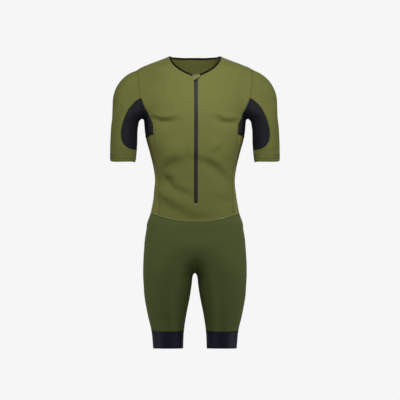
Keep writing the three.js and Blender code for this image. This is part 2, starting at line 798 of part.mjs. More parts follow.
// Garage: a small flap of jersey folded over the top of the zip, sewn down askew and raised over the slider.
const GARAGE = { topLeft: [-9, -59.5], topRight: [16, -56], footLeft: [-4.5, -75.5], footRight: [16.7, -64] };
const GARAGE_STEPS = { across: 9, up: 6 };
const GARAGE_REST = 2.4;
const GARAGE_RISE = 1.7;
const garageLift = new Map();
const garage = Array.from({ length: GARAGE_STEPS.up + 1 }, (_, j) =>
  Array.from({ length: GARAGE_STEPS.across + 1 }, (_, i) => {
    const u = i / GARAGE_STEPS.across;
    const v = j / GARAGE_STEPS.up;
    const blend = (axis) =>
      THREE.MathUtils.lerp(
        THREE.MathUtils.lerp(GARAGE.footLeft[axis], GARAGE.footRight[axis], u),
        THREE.MathUtils.lerp(GARAGE.topLeft[axis], GARAGE.topRight[axis], u),
        v,
      );
    const p = front(blend(0), blend(1));
    const swell = (1 - Math.abs(2 * u - 1) ** 6) * (1 - Math.abs(2 * v - 1) ** 6);
    garageLift.set(p.x.toFixed(3) + p.z.toFixed(3), GARAGE_REST + GARAGE_RISE * swell);
    return p;
  }),
);
const flap = { lift: (p) => garageLift.get(p.x.toFixed(3) + p.z.toFixed(3)), thickness: 1.2 };
addMesh("zip_garage", wall(skinOf([garage]), flap), "olive");

export default suit;
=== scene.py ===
import math
from types import SimpleNamespace

import bpy
import numpy as np
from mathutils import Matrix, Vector, kdtree


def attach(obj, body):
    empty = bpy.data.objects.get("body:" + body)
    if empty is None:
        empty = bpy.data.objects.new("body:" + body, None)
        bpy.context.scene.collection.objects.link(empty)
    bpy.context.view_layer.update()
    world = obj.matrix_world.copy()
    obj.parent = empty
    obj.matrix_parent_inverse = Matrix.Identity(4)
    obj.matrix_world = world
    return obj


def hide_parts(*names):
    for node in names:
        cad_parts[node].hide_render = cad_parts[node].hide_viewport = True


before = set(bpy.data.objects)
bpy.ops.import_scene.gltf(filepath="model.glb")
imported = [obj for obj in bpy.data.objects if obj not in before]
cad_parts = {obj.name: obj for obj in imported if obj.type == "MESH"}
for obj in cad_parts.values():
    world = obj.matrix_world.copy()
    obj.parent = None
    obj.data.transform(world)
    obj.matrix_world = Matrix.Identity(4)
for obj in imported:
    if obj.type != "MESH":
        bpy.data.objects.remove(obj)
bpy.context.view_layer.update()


# Camera: a long lens level with the hips, turned a little towards the wearer's right as in the photograph.
CAMERA_DISTANCE = 25.0
CAMERA_AIM = (0.0165, 0.0, -0.4648)
CAMERA_TURN = math.radians(1.8)
SEEN_WIDTH = 1.3

scene = bpy.context.scene
scene.view_settings.view_transform = "Standard"
camera_data = bpy.data.cameras.new("camera")
camera_data.sensor_width = 36.0
camera_data.lens = 36.0 * CAMERA_DISTANCE / SEEN_WIDTH
camera_data.clip_end = 300
camera = bpy.data.objects.new("camera", camera_data)
camera.location = (
    CAMERA_AIM[0] - CAMERA_DISTANCE * math.sin(CAMERA_TURN),
    CAMERA_AIM[1] - CAMERA_DISTANCE * math.cos(CAMERA_TURN),
    CAMERA_AIM[2],
)
camera.rotation_euler = (math.pi / 2, 0, -CAMERA_TURN)
scene.collection.objects.link(camera)
scene.camera = camera


# Studio: a small soft box close in front of the chest, whose light fades down the suit and out over the sleeves, low
# lamps at both sides that draw the edges, weak ones behind, and a dim room.
KEY_POWER = 5.3
ROOM_LIGHT = 0.10
BACKGROUND = 0.9216
SUNS = (
    # name, strength, elevation, azimuth from the front towards the wearer's left, softness in degrees
    ("lamp_left", 0.80, 8, 86, 12),
    ("lamp_right", 0.55, 6, -86, 12),
    ("fill_right", 0.12, 25, -60, 20),
    ("behind_left", 0.55, 36, 150, 40),
    ("behind_right", 0.50, 36, -150, 40),
)


def aimed(obj, place, target):
    obj.location = place
    obj.rotation_euler = (Vector(target) - Vector(place)).to_track_quat("-Z", "Y").to_euler()
    scene.collection.objects.link(obj)


key_data = bpy.data.lights.new("soft_box", "AREA")
key_data.shape = "RECTANGLE"
key_data.size = 0.4
key_data.size_y = 0.4
key_data.energy = KEY_POWER
soft_box = bpy.data.objects.new("soft_box", key_data)
aimed(soft_box, (0.05, -0.8, 0.17), (0.0, 0.0, -0.10))
soft_box.visible_camera = False
for sun_name, strength, elevation, azimuth, softness in SUNS:
    sun_data = bpy.data.lights.new(sun_name, "SUN")
    sun_data.energy = strength
    sun_data.angle = math.radians(softness)
    up, turn = math.radians(elevation), math.radians(azimuth)
    way = (5 * math.cos(up) * math.sin(turn), -5 * math.cos(up) * math.cos(turn), 5 * math.sin(up))
    aimed(bpy.data.objects.new(sun_name, sun_data), way, (0, 0, 0))


def add_node(tree, kind, inputs=None, **settings):
    """A shader node with its settings, its sockets set as feed sets them."""
    made = tree.nodes.new(kind)
    for setting, value in settings.items():
        setattr(made, setting, value)
    return feed(made, inputs or {})


def feed(made, inputs):
    """Sets a node's sockets to plain values, or links them from other nodes' sockets."""
    for socket, value in inputs.items():
        if isinstance(value, bpy.types.NodeSocket):
            made.id_data.links.new(value, made.inputs[socket])
        else:
            made.inputs[socket].default_value = value
    return made


def pale_to_camera(tree, kind, lit, end):
    """The camera sees a plain pale background, and the light meets what is really there."""
    seen = add_node(tree, kind, {"Color": (BACKGROUND, BACKGROUND, BACKGROUND, 1)})
    by_camera = add_node(tree, "ShaderNodeLightPath").outputs["Is Camera Ray"]
    mix = add_node(tree, "ShaderNodeMixShader", {0: by_camera, 1: lit.outputs[0], 2: seen.outputs[0]})
    feed(end, {"Surface": mix.outputs[0]})


room = bpy.data.worlds.new("pale_room")
scene.world = room
room.use_nodes = True
wall_light = feed(room.node_tree.nodes["Background"], {"Color": (1, 1, 1, 1), "Strength": ROOM_LIGHT})
pale_to_camera(room.node_tree, "ShaderNodeBackground", wall_light, room.node_tree.nodes["World Output"])


# Floor: matt pale paper well below the hems, which looks as bright as the room behind it so that no horizon shows.
FLOOR_Z = -1.35
FLOOR_RADIUS = 90.0


def new_material(name):
    """A material, its node tree and its main shader."""
    material = bpy.data.materials.new(name)
    material.use_nodes = True
    return material, material.node_tree, material.node_tree.nodes["Principled BSDF"]


paper, paper_tree, paper_shader = new_material("floor_paper")
feed(paper_shader, {"Base Color": (0.6, 0.6, 0.6, 1), "Roughness": 1.0, "Specular IOR Level": 0.0})
pale_to_camera(paper_tree, "ShaderNodeEmission", paper_shader, paper_tree.nodes["Material Output"])
bpy.ops.mesh.primitive_circle_add(vertices=96, radius=FLOOR_RADIUS, fill_type="NGON", location=(0, 0, FLOOR_Z))
floor = bpy.context.object
floor.name = "floor"
floor.data.materials.append(paper)


# Front of the top: one piece of fine olive stretch jersey, cut with a slit for the zip and flatlocked to its
# neighbours. Like every other piece it lies on the form of the filled-out suit that is set out here.
BODY_SECTIONS = [
    # z, inner, outer, front, back, square: level sections of one half, inner and outer from the middle
    (0.062, -0.058, 0.058, 0.050, 0.052, 2.00),
    (0.026, -0.063, 0.063, 0.053, 0.055, 2.00),
    (0.004, -0.080, 0.080, 0.057, 0.060, 2.00),
    (-0.010, -0.1125, 0.1125, 0.061, 0.067, 2.00),
    (-0.023, -0.147, 0.147, 0.066, 0.074, 2.05),
    (-0.037, -0.177, 0.177, 0.072, 0.082, 2.10),
    (-0.056, -0.180, 0.180, 0.081, 0.091, 2.15),
    (-0.088, -0.179, 0.179, 0.096, 0.102, 2.20),
    (-0.136, -0.174, 0.174, 0.111, 0.110, 2.30),
    (-0.190, -0.167, 0.167, 0.118, 0.111, 2.30),
    (-0.257, -0.1605, 0.1605, 0.115, 0.105, 2.30),
    (-0.316, -0.145, 0.145, 0.108, 0.095, 2.25),
    (-0.361, -0.1345, 0.1345, 0.102, 0.090, 2.25),
    (-0.403, -0.1295, 0.1295, 0.099, 0.089, 2.25),
    (-0.452, -0.1345, 0.1345, 0.099, 0.093, 2.25),
    (-0.507, -0.144, 0.144, 0.101, 0.106, 2.25),
    (-0.556, -0.1563, 0.1563, 0.103, 0.120, 2.25),
    (-0.608, -0.128, 0.164, 0.104, 0.128, 2.20),
    (-0.652, -0.058, 0.167, 0.102, 0.128, 2.15),
    (-0.684, -0.010, 0.168, 0.099, 0.119, 2.10),
    (-0.700, 0.001, 0.168, 0.097, 0.113, 2.10),
    (-0.712, 0.0075, 0.168, 0.095, 0.108, 2.10),
    (-0.740, 0.011, 0.1665, 0.091, 0.099, 2.10),
    (-0.780, 0.017, 0.1635, 0.086, 0.090, 2.05),
    (-0.838, 0.0285, 0.153, 0.077, 0.078, 2.00),
    (-0.890, 0.036, 0.141, 0.067, 0.068, 2.00),
    (-0.947, 0.0385, 0.1355, 0.062, 0.063, 2.00),
    (-0.990, 0.039, 0.131, 0.060, 0.061, 2.00),
]
SLEEVE_SECTIONS = [
    # z, inner, outer, front, back, square
    (-0.150, 0.052, 0.2675, 0.061, 0.062, 2.0),
    (-0.176, 0.118, 0.2685, 0.059, 0.060, 2.0),
    (-0.197, 0.171, 0.269, 0.057, 0.058, 2.0),
    (-0.226, 0.1845, 0.2725, 0.056, 0.056, 2.0),
    (-0.283, 0.1873, 0.2755, 0.054, 0.053, 2.0),
    (-0.338, 0.1923, 0.276, 0.052, 0.049, 2.0),
    (-0.380, 0.194, 0.2765, 0.050, 0.047, 2.0),
]
DOME_HEIGHT = 0.111
ARMPIT_BLEND = 0.020
SHOULDER_BLEND = 0.014
CROTCH_BLEND = 0.026
CROTCH_Z = -0.706


def eased(t, low, rise_low, high, rise_high):
    """A cubic from low to high, with the slopes given for its ends."""
    return (
        (2 * t**3 - 3 * t**2 + 1) * low
        + (t**3 - 2 * t**2 + t) * rise_low
        + (3 * t**2 - 2 * t**3) * high
        + (t**3 - t**2) * rise_high
    )


def section_at(table, z):
    """Smooth sections at many heights, from a table whose rows run downwards."""
    table = np.array(table)
    heights = table[:, 0]
    last = len(heights) - 1
    a = np.clip(np.searchsorted(-heights, -z, side="right") - 1, 0, last - 1)
    span = heights[a + 1] - heights[a]
    t = np.clip((z - heights[a]) / span, 0, 1)[:, None]
    slopes = np.zeros((last + 1, table.shape[1] - 1))
    slopes[1:-1] = (table[2:, 1:] - table[:-2, 1:]) / (heights[2:] - heights[:-2])[:, None]
    return eased(t, table[a, 1:], slopes[a] * span[:, None], table[a + 1, 1:], slopes[a + 1] * span[:, None]).T


def lobe(section, x, y, rise=0.0):
    """Distance along the ray from a section's middle to its rounded outline."""
    inner, outer, front, back, square = section
    half = (outer - inner) / 2
    across = x - (outer + inner) / 2
    depth = np.where(y < 0, front, back)
    reach = (np.abs(across / half) ** square + np.abs(y / depth) ** square + np.abs(rise) ** square) ** (1 / square)
    ray = np.sqrt(across**2 + y**2 + (rise * DOME_HEIGHT) ** 2)
    return ray - ray / np.maximum(reach, 1e-6)


def soft_min(a, b, blend):
    near = np.maximum(blend - np.abs(a - b), 0) / blend
    return np.minimum(a, b) - near**2 * blend / 4


def ramp(value, start, end):
    t = np.clip((value - start) / (end - start), 0, 1)
    return t * t * (3 - 2 * t)


def form_distance(points):
    """Below zero inside the filled-out suit and zero on its outer face."""
    x, y, z = points.T
    body_section = section_at(BODY_SECTIONS, z)
    below_hips = 1 - ramp(z, CROTCH_Z + 0.080, CROTCH_Z + 0.145)
    crotch_blend = 0.0005 + below_hips * (0.008 + (CROTCH_BLEND - 0.008) * ramp(z, CROTCH_Z, CROTCH_Z + 0.056))
    body = soft_min(lobe(body_section, x, y), lobe(body_section, -x, y), crotch_blend)
    top = SLEEVE_SECTIONS[0][0]
    sleeve_section = section_at(SLEEVE_SECTIONS, np.minimum(z, top))
    sleeve = lobe(sleeve_section, np.abs(x), y, np.maximum(z - top, 0) / DOME_HEIGHT)
    blend = ARMPIT_BLEND + (SHOULDER_BLEND - ARMPIT_BLEND) * ramp(z, -0.150, -0.060)
    return soft_min(body, sleeve, blend)


def form_slope(points):
    step = 0.0006
    slope = np.empty_like(points)
    for axis in range(3):
        shift = np.zeros(3)
        shift[axis] = step
        slope[:, axis] = (form_distance(points + shift) - form_distance(points - shift)) / (2 * step)
    return slope


def unit(vectors):
    return vectors / np.maximum(np.linalg.norm(vectors, axis=1, keepdims=True), 1e-9)


def form_normal(points):
    return unit(form_slope(points))


def onto_form(points, rounds=9):
    """The nearest points of the form, by Newton steps along its slope."""
    points = np.array(points, float)
    shape = points.shape
    points = points.reshape(-1, 3)
    for _ in range(rounds):
        slope = form_slope(points)
        step = np.clip(form_distance(points) / (slope**2).sum(1), -0.025, 0.025)
        points = points - slope * step[:, None]
    return points.reshape(shape)


def on_face(x, z, sign):
    """The point of the front (sign -1) or back (sign 1) face at x and z."""
    depths = np.arange(0.200, 0.0, -0.001)
    line = np.stack([np.full_like(depths, x), sign * depths, np.full_like(depths, z)], axis=1)
    low = depths[np.nonzero(form_distance(line) < 0)[0][0]]
    high = low + 0.001
    for _ in range(16):
        middle = (low + high) / 2
        if form_distance(np.array([[x, sign * middle, z]]))[0] > 0:
            high = middle
        else:
            low = middle
    return np.array([x, sign * low, z])


def front(x, z):
    return on_face(x, z, -1)


def back(x, z):
    return on_face(x, z, 1)


def near(x, y, z):
    return onto_form([[x, y, z]])[0]


# Steps along each seam, for one wearer's side, and the finer steps that each is split into.
FINE = 4
STEPS = SimpleNamespace(
    neck_front=6, neck_back=5, shoulder=6, side=4, side_seam=11, body_insert=6, armhole=7, below_zip=3, zip=20,
    sleeve_insert=7, sleeve_inseam=2, hip_middle=9, inseam=9, leg_band=2,
)


def smooth_curve(points, samples=40):
    """A centripetal curve through points, as a dense polyline."""
    points = [np.array(p, float) for p in points]
    if len(points) == 2:
        t = np.linspace(0, 1, samples)[:, None]
        return points[0] * (1 - t) + points[1] * t
    ends = [2 * points[0] - points[1], *points, 2 * points[-1] - points[-2]]
    runs = []
    t = np.linspace(0, 1, samples, endpoint=False)[:, None]
    for p0, p1, p2, p3 in zip(ends, ends[1:], ends[2:], ends[3:]):
        d0, d1, d2 = [math.sqrt(np.linalg.norm(q - p)) for p, q in ((p0, p1), (p1, p2), (p2, p3))]
        m1 = ((p1 - p0) / d0 - (p2 - p0) / (d0 + d1) + (p2 - p1) / d1) * d1
        m2 = ((p2 - p1) / d1 - (p3 - p1) / (d1 + d2) + (p3 - p2) / d2) * d1
        runs.append(eased(t, p1, m1, p2, m2))
    return np.vstack([*runs, points[-1][None]])


def lengths_along(line):
    return np.concatenate([[0], np.cumsum(np.linalg.norm(np.diff(line, axis=0), axis=1))])


def even_steps(line, steps):
    """Points at equal spacing along a polyline."""
    lengths = lengths_along(line)
    at = np.linspace(0, lengths[-1], steps + 1)
    return np.stack([np.interp(at, lengths, line[:, axis]) for axis in range(3)], axis=1)


def seam(steps, face, *places):
    """A seam on the form through points, or places: (x, z) on the face, or whatever is nearest to (x, y, z)."""
    points = [p if isinstance(p, np.ndarray) else face(*p) if len(p) == 2 else near(*p) for p in places]
    line = even_steps(smooth_curve(points), steps * FINE)
    line[1:-1] = onto_form(line[1:-1])
    line[0], line[-1] = points[0], points[-1]
    return line


def chain(*seams):
    return np.vstack([s if i == 0 else s[1:] for i, s in enumerate(seams)])


ZIP_HALF_WIDTH = 0.006
ZIP_END_Z = -0.475
ZIP_TOP_Z = -0.057

zip_foot = front(ZIP_HALF_WIDTH, ZIP_END_Z + 0.002)
zip_head = front(ZIP_HALF_WIDTH, -0.0645)
neck_side, back_neck = near(0.0840, 0.004, -0.001), back(0, -0.0072)
shoulder_top, armpit = near(0.188, 0.005, -0.040), near(0.171, 0, -0.193)
insert_front, insert_back = front(0.1775, -0.134), back(0.177, -0.134)
body_insert_front, body_insert_back = front(0.136, -0.252), back(0.134, -0.252)
waist_middle_front, waist_middle_back = front(0, -0.535), back(0, -0.500)
waist_front, waist_side, waist_back = front(0.125, -0.5145), near(0.147, 0.002, -0.508), back(0.124, -0.506)
waist_front_steps = STEPS.neck_front + STEPS.shoulder
waist_back_steps = STEPS.neck_back + STEPS.shoulder

neck_front = seam(
    STEPS.neck_front, front, zip_head, (0.024, -0.0575), (0.041, -0.0492), (0.057, -0.0392), (0.070, -0.0278),
    (0.079, -0.0155), neck_side,
)
neck_back = seam(STEPS.neck_back, back, neck_side, (0.072, 0.040, -0.0045), (0.038, -0.0068), back_neck)
shoulder = seam(STEPS.shoulder, near, neck_side, (0.118, 0.005, -0.011), (0.155, 0.005, -0.026), shoulder_top)
zip_edge = seam(STEPS.zip, front, zip_foot, zip_head)
below_zip = seam(STEPS.below_zip, front, waist_middle_front, (0, ZIP_END_Z))
slit_foot = np.linspace(below_zip[-1], zip_foot, FINE + 1)
back_middle = seam(
    STEPS.side_seam + STEPS.body_insert + STEPS.armhole, back, waist_middle_back, (0, -0.380), (0, -0.250),
    (0, -0.110), back_neck,
)
armhole_front = seam(
    STEPS.armhole, front, insert_front, (0.181, -0.114), (0.1835, -0.089), (0.1855, -0.064), shoulder_top,
)
armhole_back = seam(
    STEPS.armhole, back, insert_back, (0.180, -0.108), (0.184, -0.078), (0.187, -0.056), shoulder_top,
)
armhole_under = seam(
    2 * STEPS.side, near, insert_front, (0.173, -0.044, -0.166), (0.171, -0.024, -0.186), armpit,
    (0.171, 0.024, -0.186), (0.173, 0.044, -0.166), insert_back,
)
body_insert_front_seam = seam(
    STEPS.body_insert, front, body_insert_front, (0.1375, -0.236), (0.141, -0.216), (0.149, -0.196),
    (0.160, -0.172), (0.169, -0.151), insert_front,
)
body_insert_back_seam = seam(
    STEPS.body_insert, back, body_insert_back, (0.136, -0.236), (0.141, -0.212), (0.151, -0.184),
    (0.166, -0.154), insert_back,
)
body_insert_foot = seam(
    2 * STEPS.side, near, body_insert_front, (0.154, -0.050, -0.257), (0.161, 0, -0.261), (0.153, 0.050, -0.257),
    body_insert_back,
)
side_front = seam(
    STEPS.side_seam, front, waist_front, (0.123, -0.455), (0.120, -0.400), (0.125, -0.345), (0.133, -0.290),
    body_insert_front,
)
side_back = seam(
    STEPS.side_seam, back, waist_back, (0.116, -0.455), (0.112, -0.400), (0.117, -0.345), (0.128, -0.290),
    body_insert_back,
)
waist_front_seam = seam(
    waist_front_steps, front, waist_middle_front, (0.030, -0.5345), (0.060, -0.5315), (0.092, -0.5245), waist_front,
)
waist_back_seam = seam(waist_back_steps, back, waist_middle_back, (0.050, -0.5005), (0.092, -0.503), waist_back)
waist_side_front = seam(STEPS.side, near, waist_front, (0.143, -0.045, -0.509), waist_side)
waist_side_back = seam(STEPS.side, near, waist_side, (0.142, 0.048, -0.507), waist_back)


def filled(bottom, top, left, right):
    """The points between four edges, blended straight across."""
    rows, columns = len(left), len(bottom)
    v = np.linspace(0, 1, rows)[:, None, None]
    u = np.linspace(0, 1, columns)[None, :, None]
    lift = bottom[None] * (1 - v) + top[None] * v
    slide = left[:, None] * (1 - u) + right[:, None] * u
    corners = (bottom[0] * (1 - u) + bottom[-1] * u) * (1 - v) + (top[0] * (1 - u) + top[-1] * u) * v
    return lift + slide - corners


def evened(grid, passes):
    """Slides the inner points of a grid on the form until they are evenly spaced."""
    grid = grid.copy()
    for _ in range(passes):
        mean = (grid[:-2, 1:-1] + grid[2:, 1:-1] + grid[1:-1, :-2] + grid[1:-1, 2:]) / 4
        grid[1:-1, 1:-1] = onto_form(mean * 0.6 + grid[1:-1, 1:-1] * 0.4, 3)
    return grid


def split_rows(grid, parts):
    """More rows, on a smooth curve through each column."""
    padded = np.concatenate([2 * grid[:1] - grid[1:2], grid, 2 * grid[-1:] - grid[-2:-1]])
    rows = []
    for j in range(len(grid) - 1):
        p0, p1, p2, p3 = padded[j : j + 4]
        for k in range(parts):
            t = k / parts
            rows.append(
                p1
                + 0.5 * t * (p2 - p0 + t * (2 * p0 - 5 * p1 + 4 * p2 - p3 + t * (3 * (p1 - p2) + p3 - p0)))
            )
    return np.array([*rows, grid[-1]])


def patch(bottom, top, left, right, columns=(0, -1), rows=(0, -1)):
    """A fine grid on the form between four seams whose ends meet. Columns and rows name the lines of the grid that
    are seams, where extra lines of points let the edge turn down sharply: they come after a line that has a positive
    number, and before one that has a negative number."""
    coarse = filled(bottom[::FINE], top[::FINE], left[::FINE], right[::FINE])
    coarse[1:-1, 1:-1] = onto_form(coarse[1:-1, 1:-1])
    fine = split_rows(evened(coarse, 14), FINE)
    fine = split_rows(fine.transpose(1, 0, 2), FINE).transpose(1, 0, 2)
    fine += filled(bottom - fine[0], top - fine[-1], left - fine[:, 0], right - fine[:, -1])
    fine[1:-1, 1:-1] = onto_form(fine[1:-1, 1:-1], 4)
    grid = evened(fine, 3)
    for axis, seams in ((0, rows), (1, columns)):
        lines = list(np.moveaxis(grid, axis, 0))
        added = []
        for entry in seams:
            at, step = (entry, 1) if entry >= 0 else (len(lines) + entry, -1)
            for share in (0.18, 0.45):
                added.append((at + step * share, lines[at] * (1 - share) + lines[at + step] * share))
        ordered = sorted([*enumerate(lines), *added], key=lambda pair: pair[0])
        grid = np.moveaxis(np.array([line for _, line in ordered]), 0, axis)
    return grid


MIRROR = np.array([-1, 1, 1])


def mirrored(grid):
    return grid[:, ::-1] * MIRROR


SIDES = (("left", lambda grid: grid), ("right", mirrored))


# Soft creases of the whole suit, in millimetres: the two ends and the middle of each, as x and z on the front and
# back, and as y and z on the wearer's left and right. Where the depth is below zero the cloth swells out instead.
CREASES = {
    "front": (
        # start, middle, end, half width, depth, height of the ridge above it
        (-142, -202, -104, -211, -62, -205, 9.8, 12, 4.4),
        (62, -197, 91.4, -212, 137, -212, 9.2, 10.4, 3.8),
        (-30, -332, -80, -352, -116, -396, 16, 6.4, 3),
        (-113, -400, -98, -405, -74, -403, 17, 17, 0),
        (-98, -415, -64.6, -436, -18, -457, 16, 11, 3),
        (-131, -458, -80, -494, -26, -524, 22, 15, 6),
        (-52, -516, 0.4, -524, 68, -518, 12, 4, 0),
        (-4, -333, 47, -352, 106, -408, 13, 6.2, 3.6),
        (-115, -285, -85, -298, -35, -290, 30, -11.5, 0),
        (35, -290, 85, -298, 115, -285, 30, -10.5, 0),
        (50, -324, 78, -300, 108, -274, 12, 4.4, 1.6),
        (62, -458, 92, -469, 118, -464, 13, 3.6, 1),
        (-181.6, -45, -149.1, -55, -105, -66, 17, 11, 0),
        (-96, -94, -78, -112, -66, -130, 15, 2.2, 0.8),
        (104, -60, 134, -56, 160, -49, 15, 2.4, 0),
        (-156, -82, -151, -112, -147, -142, 13, -2, 0),
        (-20, -140, -30, -180, -26, -230, 16, 1.8, 0),
        (18, -180, 26, -225, 24, -270, 16, 1.8, 0),
        (-188, -76, -210, -112, -242, -150, 15, 12, 4),
        (190, -72, 210, -108, 240, -146, 15, 8, 3),
        (232, -118, 241, -142, 249, -172, 12, 3, 1),
        (-246, -150, -254, -185, -256, -225, 13, 3.4, 0),
        (-264, -304, -236, -311, -203, -316, 8, 2.2, 1),
        (204, -314, 238, -309, 265, -302, 8, 2, 1),
        (-222, -205, -206, -226, -196, -252, 12, 2, 0),
        (196, -196, 208, -222, 222, -240, 12, 2, 0),
        (-78, -560, 0, -572, 78, -560, 16, 1.4, 0.6),
        (-96, -652, -50, -664, -18, -688, 12, 2, 0),
        (16, -690, 46, -668, 90, -660, 12, 1.8, 0),
        (-62, -745, -56, -795, -62, -850, 15, 3.4, 0),
        (38, -740, 43, -785, 50, -840, 13, 2.8, 0),
        (-130, -842, -98, -850, -66, -846, 12, 1.2, 0.6),
        (70, -852, 100, -846, 132, -852, 12, 1, 0.6),
    ),
    "back": (
        (-94, -372, -20, -386, 62, -380, 12, 8.1, 3.6),
        (-46, -425, 20, -416, 98, -420, 12, 7.2, 3),
        (-112, -452, -60, -462, -10, -455, 12, 5.1, 2.1),
        (-126, -212, -96, -230, -66, -242, 12, 6, 2.1),
        (60, -238, 94, -224, 130, -204, 13, 6.3, 2.4),
        (-30, -100, -16, -170, -20, -260, 15, 3, 0),
        (12, -150, 20, -220, 14, -300, 14, 2.7, 0),
        (-150, -70, -120, -66, -86, -74, 14, 3.9, 0),
        (94, -78, 128, -68, 156, -74, 14, 3.9, 0),
        (-194, -76, -207, -108, -224, -136, 16, 6.9, 2.1),
        (193, -72, 205, -104, 226, -134, 16, 7.2, 2.1),
        (-130, -690, -86, -706, -30, -694, 12, 4.4, 1.8),
        (32, -696, 82, -710, 128, -696, 12, 4.2, 1.8),
        (-112, -742, -82, -750, -52, -744, 10, 2.2, 1),
        (58, -752, 88, -746, 118, -756, 10, 2.2, 1),
        (-118, -838, -90, -848, -60, -842, 10, 2.2, 1),
        (64, -846, 94, -852, 124, -844, 10, 2.2, 1),
    ),
    "left": (
        (-60, -372, -10, -388, 40, -380, 12, 5.7, 2.4),
        (-30, -428, 14, -436, 60, -428, 12, 5.1, 2.1),
        (-62, -600, -6, -612, 56, -604, 16, 2.4, 0.9),
    ),
    "right": (
        (-70, -386, -16, -396, 36, -384, 13, 6.6, 2.7),
        (-44, -440, 8, -446, 56, -436, 12, 5.1, 2.1),
        (-56, -606, 6, -616, 62, -604, 16, 2.4, 0.9),
    ),
}
CREASE_FACES = {
    "front": front,
    "back": back,
    "left": lambda y, z: near(0.20, y, z),
    "right": lambda y, z: near(-0.20, y, z),
}
CREASE_PATHS = []
for face, table in CREASES.items():
    for row in np.array(table) * 0.001:
        placed = [CREASE_FACES[face](*place) for place in row[:6].reshape(3, 2)]
        CREASE_PATHS.append((even_steps(smooth_curve(placed), 14), *row[6:]))


def off_path(path, points):
    """Each point's way from the nearest point of a path in space, and how far along it that lies, from 0 to 1."""
    best = np.full(len(points), np.inf)
    way = np.zeros_like(points)
    along = np.zeros(len(points))
    for k, (a, b) in enumerate(zip(path[:-1], path[1:])):
        run = b - a
        t = np.clip((points - a) @ run / (run @ run), 0, 1)
        off = points - a - t[:, None] * run
        distance = np.linalg.norm(off, axis=1)
        closer = distance < best
        best = np.where(closer, distance, best)
        way[closer] = off[closer]
        along = np.where(closer, (k + t) / (len(path) - 1), along)
    return best, way, along


def crease_depth(points):
    """How far the cloth dips below the form at each point."""
    depth = np.zeros(len(points))
    for path, width, deep, ridge in CREASE_PATHS:
        reach = np.linalg.norm(path[0] - path[-1]) / 2 + 4 * width
        close = np.linalg.norm(points - path[7], axis=1) < reach
        if not close.any():
            continue
        off, way, along = off_path(path, points[close])
        fade = np.sin(math.pi * np.clip(0.06 + 0.88 * along, 0, 1)) ** 0.8
        upwards = way[:, 2] / np.maximum(off, 1e-6)
        dip = deep * np.exp(-((off / (width * (1.4 - 0.4 * upwards))) ** 2))
        above = ridge * np.exp(-(((off - 1.7 * width) / width) ** 2)) * np.clip(upwards, 0, 1)
        depth[close] += fade * (dip - above)
    return depth


CLOTH = 0.0008
SEAM_ROLL = 0.0002


def faces_out(grid):
    middle = grid[:-1, :-1].reshape(-1, 3)
    rising = (grid[1:, 1:] - grid[:-1, :-1]).reshape(-1, 3)
    falling = (grid[1:, :-1] - grid[:-1, 1:]).reshape(-1, 3)
    return (np.cross(rising, falling) * form_normal(middle)).sum() > 0


def wall_faces(quads, count):
    """The faces of a closed wall: outer ones, inner ones turned over, and a rim. Gives the rim's edges too."""
    used = {(a, b) for q in quads for a, b in zip(q, q[1:] + q[:1])}
    rim = [(a, b) for a, b in used if (b, a) not in used]
    inner = [[count + k for k in reversed(q)] for q in quads]
    return quads + inner + [[b, a, count + a, count + b] for a, b in rim], rim


def cloth(name, grids, material, slot, node, flat, area=None, thickness=lambda points: CLOTH, lift=lambda points: 0):
    """A thin wall of cloth on the form, welded where its grids meet. Its cut edges turn down a little into their
    seams. Lift and thickness are functions of the points."""
    points, quads, weave, index = [], [], [], {}
    for grid in grids:
        rows, columns = grid.shape[:2]
        numbers = np.empty((rows, columns), int)
        keys = np.round(grid * 2e5).astype(int)
        for j, i in np.ndindex(rows, columns):
            key = tuple(keys[j, i])
            if key not in index:
                index[key] = len(points)
                points.append(grid[j, i])
            numbers[j, i] = index[key]
        across, along = lengths_along(grid[rows // 2]), lengths_along(grid[:, columns // 2])
        ring = [(0, 0), (0, 1), (1, 1), (1, 0)] if faces_out(grid) else [(1, 0), (1, 1), (0, 1), (0, 0)]
        for j, i in np.ndindex(rows - 1, columns - 1):
            corners = [int(numbers[j + dj, i + di]) for dj, di in ring]
            if len(set(corners)) == 4:
                quads.append(corners)
                weave.append([(across[i + di], along[j + dj]) for dj, di in ring])
    points = np.array(points)
    faces, rim = wall_faces(quads, len(points))
    tree = kdtree.KDTree(len(rim))
    for k, (a, _) in enumerate(rim):
        tree.insert(points[a], k)
    tree.balance()
    from_edge = np.array([tree.find(p)[2] for p in points])
    normal = form_normal(points)
    height = lift(points) - crease_depth(points) - SEAM_ROLL * np.exp(-((from_edge / 0.0013) ** 2))
    outer = points + normal * height[:, None]
    wall = thickness(points) + np.zeros(len(points))
    inner = outer - normal * wall[:, None]
    weave += [list(reversed(w)) for w in weave]
    weave += [[(0, 0)] * 4 for _ in rim]
    piece = mesh_piece(name, np.vstack([outer, inner]), faces, material, node, np.array(weave, float))


def mesh_piece(name, points, faces, material, node=None, weave=None):
    """A named mesh that rides on the suit, and stands for a node where it is given one."""
    mesh = bpy.data.meshes.new(name)
    mesh.from_pydata(np.asarray(points).tolist(), [], faces)
    if weave is not None:
        mesh.uv_layers.new(name="weave").data.foreach_set("uv", weave.reshape(-1))
    mesh.polygons.foreach_set("use_smooth", [True] * len(mesh.polygons))
    mesh.materials.append(material)
    piece = bpy.data.objects.new(name, mesh)
    scene.collection.objects.link(piece)
    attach(piece, "root")
    if node:
        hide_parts(node)
    return piece


def shader_group(name, inputs, outputs):
    """An empty shader group with named sockets, its given values and its result."""
    tree = bpy.data.node_groups.new(name, "ShaderNodeTree")
    for in_out, sockets in (("INPUT", inputs), ("OUTPUT", outputs)):
        for socket, kind in sockets.items():
            tree.interface.new_socket(socket, in_out=in_out, socket_type=kind)
    return tree, tree.nodes.new("NodeGroupInput").outputs, tree.nodes.new("NodeGroupOutput")


